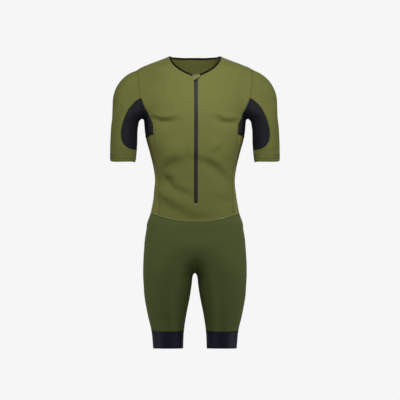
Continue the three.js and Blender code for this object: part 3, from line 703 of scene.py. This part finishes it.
def maths(tree, operation, *values):
    return add_node(tree, "ShaderNodeMath", dict(enumerate(values)), operation=operation).outputs[0]


def mottled_knit():
    """A shader group: fine V-shaped knit loops as a height; a slow patchy colour, with painted shade in the hollows.
    """
    place, number, colour = "NodeSocketVector", "NodeSocketFloat", "NodeSocketColor"
    per_metre = {"Wales per metre": number, "Courses per metre": number}
    inputs = {"Weave": place, "Place": place, **per_metre, "Patchiness": number, "Colour": colour}
    tree, given, result = shader_group("mottled_knit", inputs, {"Colour": colour, "Height": number})

    def sum_of(operation, *values):
        return maths(tree, operation, *values)

    split = add_node(tree, "ShaderNodeSeparateXYZ", {0: given["Weave"]}).outputs
    wale = sum_of("MULTIPLY", split[0], given["Wales per metre"])
    course = sum_of("MULTIPLY", split[1], given["Courses per metre"])
    off_wale = sum_of("ABSOLUTE", sum_of("SUBTRACT", sum_of("FRACT", wale), 0.5))
    leg = sum_of("SINE", sum_of("MULTIPLY", off_wale, 2 * math.pi))
    slanted = sum_of("ADD", course, sum_of("MULTIPLY", off_wale, 1.3))
    loop = sum_of("SINE", sum_of("MULTIPLY", slanted, 2 * math.pi))
    height = sum_of("ADD", sum_of("MULTIPLY", leg, 0.7), sum_of("MULTIPLY", loop, 0.3))
    patches = add_node(tree, "ShaderNodeTexNoise", {"Vector": given["Place"], "Scale": 26.0, "Detail": 4.0})
    yarn = add_node(tree, "ShaderNodeTexNoise", {"Vector": given["Place"], "Scale": 900.0, "Detail": 1.0})
    uneven = sum_of("ADD", patches.outputs["Fac"], sum_of("MULTIPLY", yarn.outputs["Fac"], 0.8))
    shade = sum_of("MULTIPLY", sum_of("SUBTRACT", uneven, 0.9), given["Patchiness"])
    # Painted shade: the colour darkens where the loops dip and lightens on their tops.
    shade = sum_of("ADD", shade, sum_of("MULTIPLY", sum_of("SUBTRACT", height, 0.5), 0.10))
    brightness = {0: given["Colour"], "Scale": sum_of("ADD", shade, 1.0)}
    bright = add_node(tree, "ShaderNodeVectorMath", brightness, operation="SCALE")
    feed(result, {"Colour": bright.outputs[0], "Height": height})
    return tree


MOTTLED_KNIT = mottled_knit()


def weave_of(tree):
    return add_node(tree, "ShaderNodeUVMap", uv_map="weave").outputs[0]


def place_of(tree):
    return add_node(tree, "ShaderNodeTexCoord").outputs["Object"]


def noise_on(tree, scale, detail=2.0):
    """Fine unevenness that stays in its place on the piece."""
    noise = add_node(tree, "ShaderNodeTexNoise", {"Vector": place_of(tree), "Scale": scale, "Detail": detail})
    return noise.outputs["Fac"]


def two_shades(tree, mask, first, second):
    mix = add_node(tree, "ShaderNodeMix", {"Factor": mask, "A": (*first, 1), "B": (*second, 1)}, data_type="RGBA")
    return mix.outputs["Result"]


def raised(tree, height, depth, strength):
    return add_node(tree, "ShaderNodeBump", {"Height": height, "Distance": depth, "Strength": strength}).outputs[0]


def knit_material(name, colour, wales=1000.0, courses=1300.0, relief=0.00012):
    """Stretch jersey: a fine knit with a faint bloom along its rounded edges."""
    material, tree, shader = new_material(name)
    values = {"Wales per metre": wales, "Courses per metre": courses, "Patchiness": 0.08, "Colour": (*colour, 1)}
    values.update({"Weave": weave_of(tree), "Place": place_of(tree)})
    knit = add_node(tree, "ShaderNodeGroup", values, node_tree=MOTTLED_KNIT)
    normal = raised(tree, knit.outputs["Height"], relief, 0.7)
    feed(shader, {"Base Color": knit.outputs["Colour"], "Normal": normal, "Roughness": 0.82})
    feed(shader, {"Specular IOR Level": 0.16, "Sheen Weight": 0.12, "Sheen Roughness": 0.5})
    feed(shader, {"Sheen Tint": (*[min(1, 3 * c) for c in colour], 1)})
    return material


def thread_material(name, colour):
    """Textured polyester sewing thread."""
    material, tree, shader = new_material(name)
    shade = two_shades(tree, noise_on(tree, 1600.0), [0.75 * c for c in colour], [1.2 * c for c in colour])
    feed(shader, {"Base Color": shade, "Roughness": 0.7, "Specular IOR Level": 0.25})
    return material


STITCH_PITCH = 0.0025
THREAD = 0.00022
FLATLOCK_WIDTH = 0.0046


def on_cloth(points, lift):
    """Points of the form, moved onto the creased cloth and then out by a small lift."""
    return points + form_normal(points) * (lift - crease_depth(points))[:, None]


def threads(name, rows, material, thread=THREAD):
    """One piece of sewing from many rows of stitches, each stitch a small spindle of thread."""
    starts, ends, normals = [np.concatenate([row[k] for row in rows]) for k in range(3)]
    side = unit(np.cross(ends - starts, normals))
    middle = (starts + ends) / 2 + normals * thread * 0.5
    rings = [middle + side * thread, middle + normals * thread, middle - side * thread, middle - normals * thread]
    points = np.stack([starts, ends, *rings], axis=1).reshape(-1, 3)
    spindle = [(0, 2 + (k + 1) % 4, 2 + k) for k in range(4)] + [(1, 2 + k, 2 + (k + 1) % 4) for k in range(4)]
    faces = (np.arange(len(starts))[:, None, None] * 6 + np.array(spindle)[None]).reshape(-1, 3)
    mesh_piece(name, points, faces.tolist(), material)


def stitch_row(line, offset, lift=0.00012):
    """The starts, ends, normals and holes of a straight row of stitches beside a seam."""
    holes = even_steps(line, max(2, int(round(lengths_along(line)[-1] / STITCH_PITCH))))
    normal = form_normal(holes)
    beside = unit(np.cross(normal, np.gradient(holes, axis=0)))
    holes = on_cloth(onto_form(holes + beside * offset, 3), lift)
    gap = (holes[1:] - holes[:-1]) * 0.06
    return holes[:-1] + gap, holes[1:] - gap, normal[:-1], holes


def both_sides(line):
    """A seam and its mirror image, which runs the other way so that its rows fall on the same side of it."""
    return line, line[::-1] * MIRROR


def rows_beside(line, *offsets):
    """Straight rows of stitches at some distances from a seam, on both sides of the suit."""
    return [stitch_row(each, offset)[:3] for each in both_sides(line) for offset in offsets]


def flatlock(*lines):
    """Flat seams: a row of stitches each side of the join and a thread that crosses over it."""
    rows = []
    for line in lines:
        rows += rows_beside(line, FLATLOCK_WIDTH / 2, -FLATLOCK_WIDTH / 2)
        for each in both_sides(line):
            left, right = [stitch_row(each, way * FLATLOCK_WIDTH / 2)[3] for way in (1, -1)]
            crossing = np.stack([left, right], axis=1).reshape(-1, 3)
            over = np.repeat(form_normal(left), 2, axis=0)[:-1]
            rows.append((crossing[:-1] + over * 0.0002, crossing[1:] + over * 0.0002, over))
    return rows


olive_jersey = knit_material("olive_jersey", (0.176, 0.188, 0.048))
olive_thread = thread_material("olive_thread", (0.225, 0.240, 0.070))
front_edge = chain(side_front, body_insert_front_seam)
front_half = patch(
    waist_front_seam,
    chain(neck_front, shoulder),
    chain(below_zip, slit_foot, zip_edge),
    chain(front_edge, armhole_front),
)
cloth("top_front", [front_half, mirrored(front_half)], olive_jersey, "olive_jersey", "front", (0.37, 0.52), 0.149)
top_rows = flatlock(shoulder, armhole_front, front_edge) + rows_beside(zip_edge[2:-2], -0.0022)
threads("top_seams", top_rows, olive_thread)


# Back of the top: one plain piece of the same jersey, guessed, as the photograph hides it, and sewn in like the
# front.
back_edge = chain(side_back, body_insert_back_seam)
back_half = patch(
    waist_back_seam, chain(neck_back[::-1], shoulder), back_middle, chain(back_edge, armhole_back), columns=(-1,)
)
cloth("top_back", [back_half, mirrored(back_half)], olive_jersey, "olive_jersey", "back", (0.37, 0.51), 0.148)
threads("back_seams", flatlock(armhole_back, back_edge), olive_thread)


# Side panels: narrow strips of the same jersey from the waist up to the mesh, painted lighter and a little yellower
# than the front as painted light.
side_panel = patch(chain(waist_side_front, waist_side_back), body_insert_foot, side_front, side_back)
# A lighter copy of the olive jersey: painted light on the flanks.
painted_light_panel_jersey = knit_material("painted_light_panel_jersey", (0.215, 0.214, 0.062))
for side, on_side in SIDES:
    panel = "side_panel_" + side
    cloth(panel + "_cloth", [on_side(side_panel)], painted_light_panel_jersey, "olive_jersey", panel, (0.12, 0.26), 0.0272)


# Mesh under the arms: an open warp knit in two pieces a side, one on the body and one on the sleeve, which meet at
# the armhole. Dark yarn round small holes, not cut but painted near black as the shade behind them.
MESH_PITCH = 0.0026


def open_mesh():
    """A shader group: rows of small round holes, each row set half a step along."""
    inputs = {"Weave": "NodeSocketVector", "Holes per metre": "NodeSocketFloat"}
    tree, given, result = shader_group("open_mesh", inputs, {"Hole": "NodeSocketFloat"})

    def vectors(operation, inputs):
        return add_node(tree, "ShaderNodeVectorMath", inputs, operation=operation).outputs

    scaled = vectors("SCALE", {0: given["Weave"], "Scale": given["Holes per metre"]})[0]
    distances = []
    for shift in (0.0, 0.5):
        cell = vectors("FRACTION", {0: vectors("ADD", {0: scaled, 1: (shift, shift, 0)})[0]})[0]
        distances.append(vectors("LENGTH", {0: vectors("SUBTRACT", {0: cell, 1: (0.5, 0.5, 0)})[0]})["Value"])
    reach = {"From Min": 0.16, "From Max": 0.30, "To Min": 1.0, "To Max": 0.0}
    reach["Value"] = maths(tree, "MINIMUM", *distances)
    rim_of_hole = add_node(tree, "ShaderNodeMapRange", reach, interpolation_type="SMOOTHSTEP")
    feed(result, {"Hole": rim_of_hole.outputs[0]})
    return tree


dark_mesh, mesh_tree, mesh_shader = new_material("dark_mesh")
mesh_values = {"Weave": weave_of(mesh_tree), "Holes per metre": 1 / MESH_PITCH}
mesh_hole = add_node(mesh_tree, "ShaderNodeGroup", mesh_values, node_tree=open_mesh()).outputs["Hole"]
# The yarn's own dark colour, and painted shade near black in the holes.
yarn_and_painted_hole_shade = two_shades(mesh_tree, mesh_hole, (0.0130, 0.0138, 0.0225), (0.0022, 0.0024, 0.0030))
mesh_normal = raised(mesh_tree, maths(mesh_tree, "SUBTRACT", 1.0, mesh_hole), 0.0004, 0.8)
feed(mesh_shader, {"Base Color": yarn_and_painted_hole_shade, "Normal": mesh_normal, "Roughness": 0.6, "Specular IOR Level": 0.25})
dark_thread = thread_material("dark_thread", (0.010, 0.011, 0.014))

underarm_body = patch(body_insert_foot, armhole_under, body_insert_front_seam, body_insert_back_seam)
insert_foot_front, insert_foot_back = front(0.229, -0.288), back(0.229, -0.288)
insert_foot, across_outer = near(0.190, 0, -0.300), near(0.275, 0, -0.290)
CUFF_Z = -0.3405
cuff_inner, cuff_outer = near(0.191, 0, CUFF_Z - 0.002), near(0.277, 0, CUFF_Z + 0.0025)
sleeve_insert_front = seam(
    STEPS.sleeve_insert, front, insert_front, (0.1975, -0.148), (0.214, -0.167), (0.2265, -0.190), (0.2345, -0.213),
    (0.240, -0.236), (0.241, -0.254), (0.238, -0.272), insert_foot_front,
)
sleeve_insert_back = seam(
    STEPS.sleeve_insert, back, insert_back, (0.197, -0.150), (0.214, -0.170), (0.229, -0.200), (0.239, -0.236),
    (0.238, -0.270), insert_foot_back,
)
insert_foot_seam_front = seam(
    STEPS.side, front, insert_foot_front, (0.218, -0.296), (0.204, -0.300), (0.193, -0.020, -0.3005), insert_foot,
)
insert_foot_seam_back = seam(
    STEPS.side, back, insert_foot_back, (0.218, -0.296), (0.204, -0.300), (0.193, 0.020, -0.3005), insert_foot,
)
sleeve_inseam = seam(STEPS.sleeve_inseam, near, insert_foot, cuff_inner)
sleeve_outer = seam(
    STEPS.sleeve_insert, near, shoulder_top, (0.206, 0.003, -0.050), (0.226, 0.002, -0.062), (0.249, 0, -0.088),
    (0.262, 0, -0.115), (0.269, 0, -0.150), (0.271, 0, -0.200), across_outer,
)
sleeve_outer_foot = seam(STEPS.sleeve_inseam, near, across_outer, cuff_outer)
across_front = seam(STEPS.armhole, near, insert_foot_front, (0.262, -0.040, -0.290), across_outer)
across_back = seam(STEPS.armhole, near, insert_foot_back, (0.262, 0.040, -0.290), across_outer)
cuff_front = seam(
    STEPS.side + STEPS.armhole, near, cuff_inner, (0.205, -0.040, CUFF_Z), (0.234, -0.052, CUFF_Z),
    (0.264, -0.038, CUFF_Z), cuff_outer,
)
cuff_back = seam(
    STEPS.side + STEPS.armhole, near, cuff_inner, (0.205, 0.038, CUFF_Z), (0.234, 0.049, CUFF_Z),
    (0.264, 0.036, CUFF_Z), cuff_outer,
)
insert_foot_line = chain(insert_foot_seam_front, insert_foot_seam_back[::-1])
underarm_sleeve = patch(insert_foot_line, armhole_under, sleeve_insert_front[::-1], sleeve_insert_back[::-1])
for side, on_side in SIDES:
    for name, grid, flat, area in (
        ("underarm_body_", underarm_body, (0.115, 0.11), 0.0103),
        ("underarm_sleeve_", underarm_sleeve, (0.15, 0.17), 0.0212),
    ):
        cloth(name + side + "_cloth", [on_side(grid)], dark_mesh, "dark_mesh", name + side, flat, area)
insert_edges = [chain(sleeve_insert_front, insert_foot_seam_front), chain(sleeve_insert_back, insert_foot_seam_back)]
threads("mesh_seams", flatlock(armhole_under, body_insert_foot, *insert_edges), dark_thread)


# Sleeves: olive jersey to the elbow, closed under the arm below the mesh. The end is turned in once. Pairs of
# light rows hold it, with pairs of dark thread beside them painted as the shade that falls on the cover thread.
HEM_DEPTH = 0.014


def hemmed(points):
    """The cloth is double where it is turned in at the end of the sleeve."""
    return CLOTH + 0.0007 * ramp(points[:, 2], CUFF_Z + HEM_DEPTH + 0.001, CUFF_Z + HEM_DEPTH - 0.001)


def drawn_in(points):
    """The hem's thread draws the end of the sleeve in a little."""
    return -0.0012 * ramp(points[:, 2], CUFF_Z + 0.012, CUFF_Z)


sleeve_grids = []
for cuff, across, foot_seam, armhole, insert_edge in (
    (cuff_front, across_front, insert_foot_seam_front, armhole_front, sleeve_insert_front),
    (cuff_back, across_back, insert_foot_seam_back, armhole_back, sleeve_insert_back),
):
    sleeve_grids.append(patch(across, armhole, insert_edge[::-1], sleeve_outer[::-1], (0,), (-1,)))
    upper_edge = chain(foot_seam[::-1], across)
    sleeve_grids.append(patch(cuff, upper_edge, sleeve_inseam[::-1], sleeve_outer_foot[::-1], (STEPS.side * FINE,)))
for side, on_side in SIDES:
    grids, sleeve = [on_side(grid) for grid in sleeve_grids], "sleeve_" + side
    cloth(sleeve + "_cloth", grids, olive_jersey, "olive_jersey", sleeve, (0.30, 0.26), 0.0496, hemmed, drawn_in)
threads("sleeve_seams", flatlock(sleeve_inseam), olive_thread)
light_thread = thread_material("light_thread", (0.38, 0.41, 0.155))
# Thread painted dark as shade, for the rows beside the light ones.
painted_shade_thread = thread_material("painted_shade_thread", (0.075, 0.082, 0.028))
for name, hem_thread, heights in (
    ("hem_rows", light_thread, (0.0077, 0.0178)),
    ("hem_painted_shade_rows", painted_shade_thread, (0.0118, 0.0215)),
):
    rows = []
    for above in heights:
        for end in (cuff_front, cuff_back):
            rows += rows_beside(onto_form(end + np.array([0, 0, above]), 4), -0.0005, 0.0005)
    threads(name, rows, hem_thread, 0.00036)


# Neck binding: a strip of flat dark elastic folded over the cut neck edge, from one side of the zip round to the
# other, and held by one row of stitches.
BINDING_WIDTH = 0.0070
BINDING_SECTION = (
    # share of the width, height over the form in millimetres
    *((0.00, -0.2), (0.04, 0.35), (0.30, 0.62), (0.60, 0.72), (0.86, 0.35), (0.99, -0.35)),
    *((1.00, -0.85), (0.97, -1.45), (0.82, -2.05), (0.55, -2.35), (0.20, -2.15), (0.02, -1.70)),
)
binding_tape, binding_tree, binding_shader = new_material("binding_tape")
binding_yarn = noise_on(binding_tree, 700.0)
binding_shade = two_shades(binding_tree, binding_yarn, (0.0035, 0.0040, 0.0015), (0.0085, 0.0095, 0.0038))
binding_normal = raised(binding_tree, binding_yarn, 0.0002, 0.5)
feed(binding_shader, {"Base Color": binding_shade, "Normal": binding_normal})
feed(binding_shader, {"Roughness": 0.6, "Specular IOR Level": 0.12})

neck_line = chain(neck_front, neck_back)
neck_line = np.vstack([neck_line, neck_line[::-1][1:] * MIRROR])
neck_out = form_normal(neck_line)
neck_up = unit(np.cross(neck_out, np.gradient(neck_line, axis=0)))
neck_up[:, 2] *= 1 - 0.65 * ramp(np.abs(neck_line[:, 0]), 0.070, 0.081)
for end in (0, -1):
    neck_up[end] = np.array([0, 0, 1]) - neck_out[end] * neck_out[end][2]
    neck_up[end] /= np.linalg.norm(neck_up[end])
rings = []
for share, height in BINDING_SECTION:
    rings.append(neck_line + neck_up * (share * BINDING_WIDTH - 0.0010) + neck_out * height * 0.001)
rings = np.array(rings).transpose(1, 0, 2)
around = len(BINDING_SECTION)
last_ring = (len(rings) - 1) * around
binding_faces = []
for start in range(0, last_ring, around):
    for i in range(around):
        a, b = start + i, start + (i + 1) % around
        binding_faces.append([a, b, b + around, a + around])
binding_faces += [list(range(around - 1, -1, -1)), list(range(last_ring, last_ring + around))]
binding = mesh_piece("neck_edge", rings.reshape(-1, 3), binding_faces, binding_tape, "neck_binding")
half_line = slice(0, len(neck_line) // 2 + 1)
holes = even_steps((neck_line + neck_up * 0.0019 + neck_out * 0.00075)[half_line], 95)
binding_rows = [(each[:-1], each[1:], form_normal(each[:-1])) for each in both_sides(holes)]
threads("binding_stitches", binding_rows, dark_thread)


# Zip: two narrow woven tapes with a nylon coil on their inner side, so only a ridge shows along each meeting edge.
# They are sewn in under the folded edges of the slit.
zip_tape, tape_tree, tape_shader = new_material("zip_tape")
tape_values = {"Vector": weave_of(tape_tree), "Scale": 130.0, "Distortion": 0.4}
tape_twill = add_node(tape_tree, "ShaderNodeTexWave", tape_values, bands_direction="DIAGONAL").outputs["Fac"]
tape_shade = two_shades(tape_tree, tape_twill, (0.020, 0.019, 0.021), (0.034, 0.032, 0.034))
tape_normal = raised(tape_tree, tape_twill, 0.0002, 0.6)
feed(tape_shader, {"Base Color": tape_shade, "Normal": tape_normal, "Roughness": 0.55, "Specular IOR Level": 0.3})
TAPE_LINES = (0.0003, 0.0007, 0.0013, 0.0020, 0.0027, 0.0034, 0.0044, 0.0053, 0.0060, 0.0066, 0.0078, 0.0095)


def tape_height(points):
    """Level with the cloth beside it, raised over the coil and tucked under the edge of the slit."""
    off = np.abs(points[:, 0])
    over_coil = 0.0006 * np.exp(-(((off - 0.0014) / 0.0009) ** 2))
    return -0.0003 + over_coil - 0.0011 * ramp(off, 0.0044, 0.0060)


tape_rise = np.linspace(ZIP_END_Z + 0.004, ZIP_TOP_Z, 150)
tape_middle = np.array([front(0.003, z) for z in np.linspace(ZIP_END_Z + 0.004, ZIP_TOP_Z, 40)])
tape_depth = np.interp(tape_rise, tape_middle[:, 2], tape_middle[:, 1])
tape_grid = onto_form(np.array([[(x, y, z) for x in TAPE_LINES] for y, z in zip(tape_depth, tape_rise)]), 5)
for side, on_side in SIDES:
    tape = ("zip_" + side + "_tape", [on_side(tape_grid)], zip_tape, "zip_tape", "zip_tape_" + side)
    cloth(*tape, (0.0105, 0.42), lift=tape_height)


# Zip slider: black lacquered zinc, closed at the top of the zip. Its pull hangs hidden under the flap above it.
slider_lacquer, slider_tree, slider_shader = new_material("slider_lacquer")
slider_wear = noise_on(slider_tree, 900.0, 3.0)
slider_rough = add_node(slider_tree, "ShaderNodeMapRange", {"Value": slider_wear, "To Min": 0.28, "To Max": 0.50})
slider_shade = two_shades(slider_tree, slider_wear, (0.009, 0.009, 0.010), (0.020, 0.020, 0.021))
feed(slider_shader, {"Base Color": slider_shade, "Roughness": slider_rough.outputs[0]})
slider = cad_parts["zip_slider"]
slider.data.materials.clear()
slider.data.materials.append(slider_lacquer)


# Garage: a small flap of olive jersey folded over the top of the zip, sewn down along its left and its upper edge.
# It stands up over the slider, and its lower right edge is bound with the dark elastic of the neck.
GARAGE_TOP = ((-0.0112, -0.0600), (0.0136, -0.0580))
GARAGE_FOOT = ((-0.0062, -0.0815), (0.0144, -0.0680))
BOUND_EDGE = 0.0026
# The flap's jersey is a lighter, paler copy of the olive jersey: painted light.
painted_light_garage_jersey = knit_material("painted_light_garage_jersey", (0.200, 0.203, 0.082))


def garage_grid(foot, top, across=30, up=22):
    """The flap's grid between two heights, each a share of the way up from its lower edge."""
    u, v = np.linspace(0, 1, across + 1)[None, :, None], np.linspace(foot, top, up + 1)[:, None, None]
    low, high = [np.array(left) * (1 - u) + np.array(right) * u for left, right in (GARAGE_FOOT, GARAGE_TOP)]
    x, z = np.moveaxis(low * (1 - v) + high * v, 2, 0)
    return onto_form(np.stack([x, np.interp(z, tape_middle[:, 2], tape_middle[:, 1]), z], axis=2), 6)


def garage_height(points):
    """The flap's rise off the form: sewn down at its left and top, and swollen over the slider."""
    low, high = np.array(GARAGE_FOOT), np.array(GARAGE_TOP)
    left = low[0, 0] + (high[0, 0] - low[0, 0]) * np.clip((points[:, 2] - low[0, 1]) / 0.016, 0, 1)
    u = np.clip((points[:, 0] - left) / 0.0235, 0, 1)
    foot = low[0, 1] + (low[1, 1] - low[0, 1]) * u
    top = high[0, 1] + (high[1, 1] - high[0, 1]) * u
    v = np.clip((points[:, 2] - foot) / (top - foot), 0, 1)
    across = 1 - np.abs(2 * u - 1) ** 3
    along = np.sin(math.pi * (0.18 + 0.72 * v)) ** 0.8
    pucker = 0.00025 * np.sin(points[:, 0] * 900.0) * v**2
    return 0.0018 + 0.0024 * across * along + pucker


flap = ("garage_flap", [garage_grid(0.0, 1.0)], painted_light_garage_jersey, "olive_jersey", "zip_garage")
cloth(*flap, (0.027, 0.016), thickness=lambda points: 0.0011, lift=garage_height)
bound = garage_grid(-0.05, 0.13, up=5)
rows, columns = bound.shape[:2]
fold = np.repeat(np.sin(np.linspace(0, math.pi, rows)), columns)[:, None]
bound = bound.reshape(-1, 3)
bound_out = form_normal(bound)
bound_lift = garage_height(bound)[:, None] + 0.0002 + 0.0005 * fold
bound_points = np.vstack([bound + bound_out * bound_lift, bound + bound_out * (bound_lift - 0.0016 - 0.0008 * fold)])
bound_quads = []
for j, i in np.ndindex(rows - 1, columns - 1):
    bound_quads.append([j * columns + i + k for k in (0, 1, columns + 1, columns)])
mesh_piece("garage_edge", bound_points, wall_faces(bound_quads, len(bound))[0], binding_tape)


# Bar tack: a block of close thread across the foot of the zip, in a lighter olive than the jersey.
TACK_TOP_Z = -0.4780
TACK_WIDTH = 0.0138
tack_thread = thread_material("tack_thread", (0.40, 0.40, 0.27))
tack_random = np.random.default_rng(7)
tack_rows = []
for k in range(11):
    z = TACK_TOP_Z - 0.0004 * k
    wander = tack_random.uniform(-0.0004, 0.0004, 2)
    line = np.array([front(x, z) for x in np.linspace(-TACK_WIDTH / 2 + wander[0], TACK_WIDTH / 2 + wander[1], 5)])
    line = on_cloth(line, 0.0005)
    tack_rows.append((line[:-1], line[1:], form_normal(line[:-1])))
threads("bar_tack", tack_rows, tack_thread, 0.00028)


# Shorts: dark green compression jersey with the front in one piece, and a back of two halves sewn together down the
# middle, which is guessed. Flat seams join the legs, and the waist seam shows light rows over green ones.
green_jersey = knit_material("green_jersey", (0.108, 0.134, 0.039), 1100.0, 1500.0, 0.0001)
green_thread = thread_material("green_thread", (0.070, 0.088, 0.026))
LEG_HEM_Z = -0.947
BAND_TOP_Z = -0.890
crotch = near(0, 0.004, CROTCH_Z)
band_inner_top, band_outer_top = near(0.036, 0, BAND_TOP_Z), near(0.141, 0, BAND_TOP_Z)
hem_inner, hem_outer = near(0.040, 0, LEG_HEM_Z), near(0.1355, 0, LEG_HEM_Z)
front_steps, back_steps = waist_front_steps + STEPS.side, waist_back_steps + STEPS.side


def leg_ring(z, depth, inner, outer, steps, dip=0.0):
    """Half of a ring round the thigh, from the inner leg to the outer leg."""
    middle = (inner[0] + outer[0]) / 2
    quarter = (outer[0] - inner[0]) * 0.36
    inner_bend = (middle - quarter, depth * 0.7, z - dip * 0.6)
    outer_bend = (middle + quarter, depth * 0.7, z - dip * 0.6)
    return seam(steps, near, inner, inner_bend, (middle, depth, z - dip), outer_bend, outer)


hip_middle_front = seam(
    STEPS.hip_middle, front, waist_middle_front, (0, -0.590), (0, -0.640), (0, -0.062, -0.682),
    (0, -0.028, CROTCH_Z - 0.001), crotch,
)
hip_middle_back = seam(
    STEPS.hip_middle, back, waist_middle_back, (0, -0.570), (0, -0.632), (0, 0.080, -0.675),
    (0, 0.034, CROTCH_Z - 0.002), crotch,
)
inseam = seam(
    STEPS.inseam, near, crotch, (0.012, 0.002, -0.730), (0.020, 0, -0.790), (0.029, 0, -0.840), band_inner_top,
)
outer_leg = seam(
    STEPS.hip_middle + STEPS.inseam, near, waist_side, (0.158, 0.002, -0.556), (0.167, 0.002, -0.630),
    (0.168, 0, -0.690), (0.165, 0, -0.780), (0.153, 0, -0.838), band_outer_top,
)
band_top_front = leg_ring(BAND_TOP_Z, -0.066, band_inner_top, band_outer_top, front_steps, 0.003)
band_top_back = leg_ring(BAND_TOP_Z, 0.067, band_inner_top, band_outer_top, back_steps, 0.002)
front_top, back_top = chain(waist_front_seam, waist_side_front), chain(waist_back_seam, waist_side_back[::-1])
shorts_front = patch(band_top_front, front_top, chain(hip_middle_front, inseam)[::-1], outer_leg[::-1])
shorts_back = patch(band_top_back, back_top, chain(hip_middle_back, inseam)[::-1], outer_leg[::-1])
both_fronts = [shorts_front, mirrored(shorts_front)]
cloth("shorts_front_cloth", both_fronts, green_jersey, "green_jersey", "shorts_front", (0.49, 0.41), 0.159)
for side, on_side in SIDES:
    half = "shorts_back_" + side
    cloth(half + "_cloth", [on_side(shorts_back)], green_jersey, "green_jersey", half, (0.28, 0.43), 0.0875)
waist_seam = chain(waist_front_seam, waist_side_front, waist_side_back, waist_back_seam[::-1])
upper_rows = rows_beside(waist_seam, 0.0012, 0.0020, 0.0028, 0.0036)
waist_thread = thread_material("waist_thread", (0.48, 0.51, 0.20))
threads("waist_upper_rows", upper_rows, waist_thread, 0.0005)
shorts_rows = rows_beside(waist_seam, -0.0010, -0.0024) + flatlock(outer_leg, inseam, hip_middle_back)
threads("shorts_seams", shorts_rows, green_thread)


# Leg bands: wide dark elastic, ribbed round the leg and a little proud of the shorts, joined on with a flat seam in
# dark thread.
BAND_PROUD = 0.0003
leg_elastic, band_tree, band_shader = new_material("leg_elastic")
band_values = {"Vector": weave_of(band_tree), "Scale": 160.0, "Distortion": 0.6, "Detail Scale": 30.0}
band_ribs = add_node(band_tree, "ShaderNodeTexWave", band_values, bands_direction="Y").outputs["Fac"]
band_uneven = maths(band_tree, "MULTIPLY", band_ribs, noise_on(band_tree, 60.0))
band_shade = two_shades(band_tree, band_uneven, (0.0095, 0.0115, 0.0270), (0.0200, 0.0235, 0.0520))
band_normal = raised(band_tree, band_ribs, 0.0003, 0.6)
feed(band_shader, {"Base Color": band_shade, "Normal": band_normal, "Roughness": 0.5, "Specular IOR Level": 0.18})
hem_front = leg_ring(LEG_HEM_Z, -0.062, hem_inner, hem_outer, front_steps)
hem_back = leg_ring(LEG_HEM_Z, 0.063, hem_inner, hem_outer, back_steps)
band_inner = seam(STEPS.leg_band, near, band_inner_top, hem_inner)[::-1]
band_outer = seam(STEPS.leg_band, near, band_outer_top, hem_outer)[::-1]
band_grids = [
    patch(hem_front, band_top_front, band_inner, band_outer, columns=()),
    patch(hem_back, band_top_back, band_inner, band_outer, columns=()),
]
for side, on_side in SIDES:
    grids, band = [on_side(grid) for grid in band_grids], "leg_band_" + side
    elastic = (band + "_cloth", grids, leg_elastic, "leg_elastic", band, (0.31, 0.058))
    cloth(*elastic, thickness=lambda points: 0.0012, lift=lambda points: BAND_PROUD)
threads("band_seams", flatlock(band_top_front, band_top_back), dark_thread)
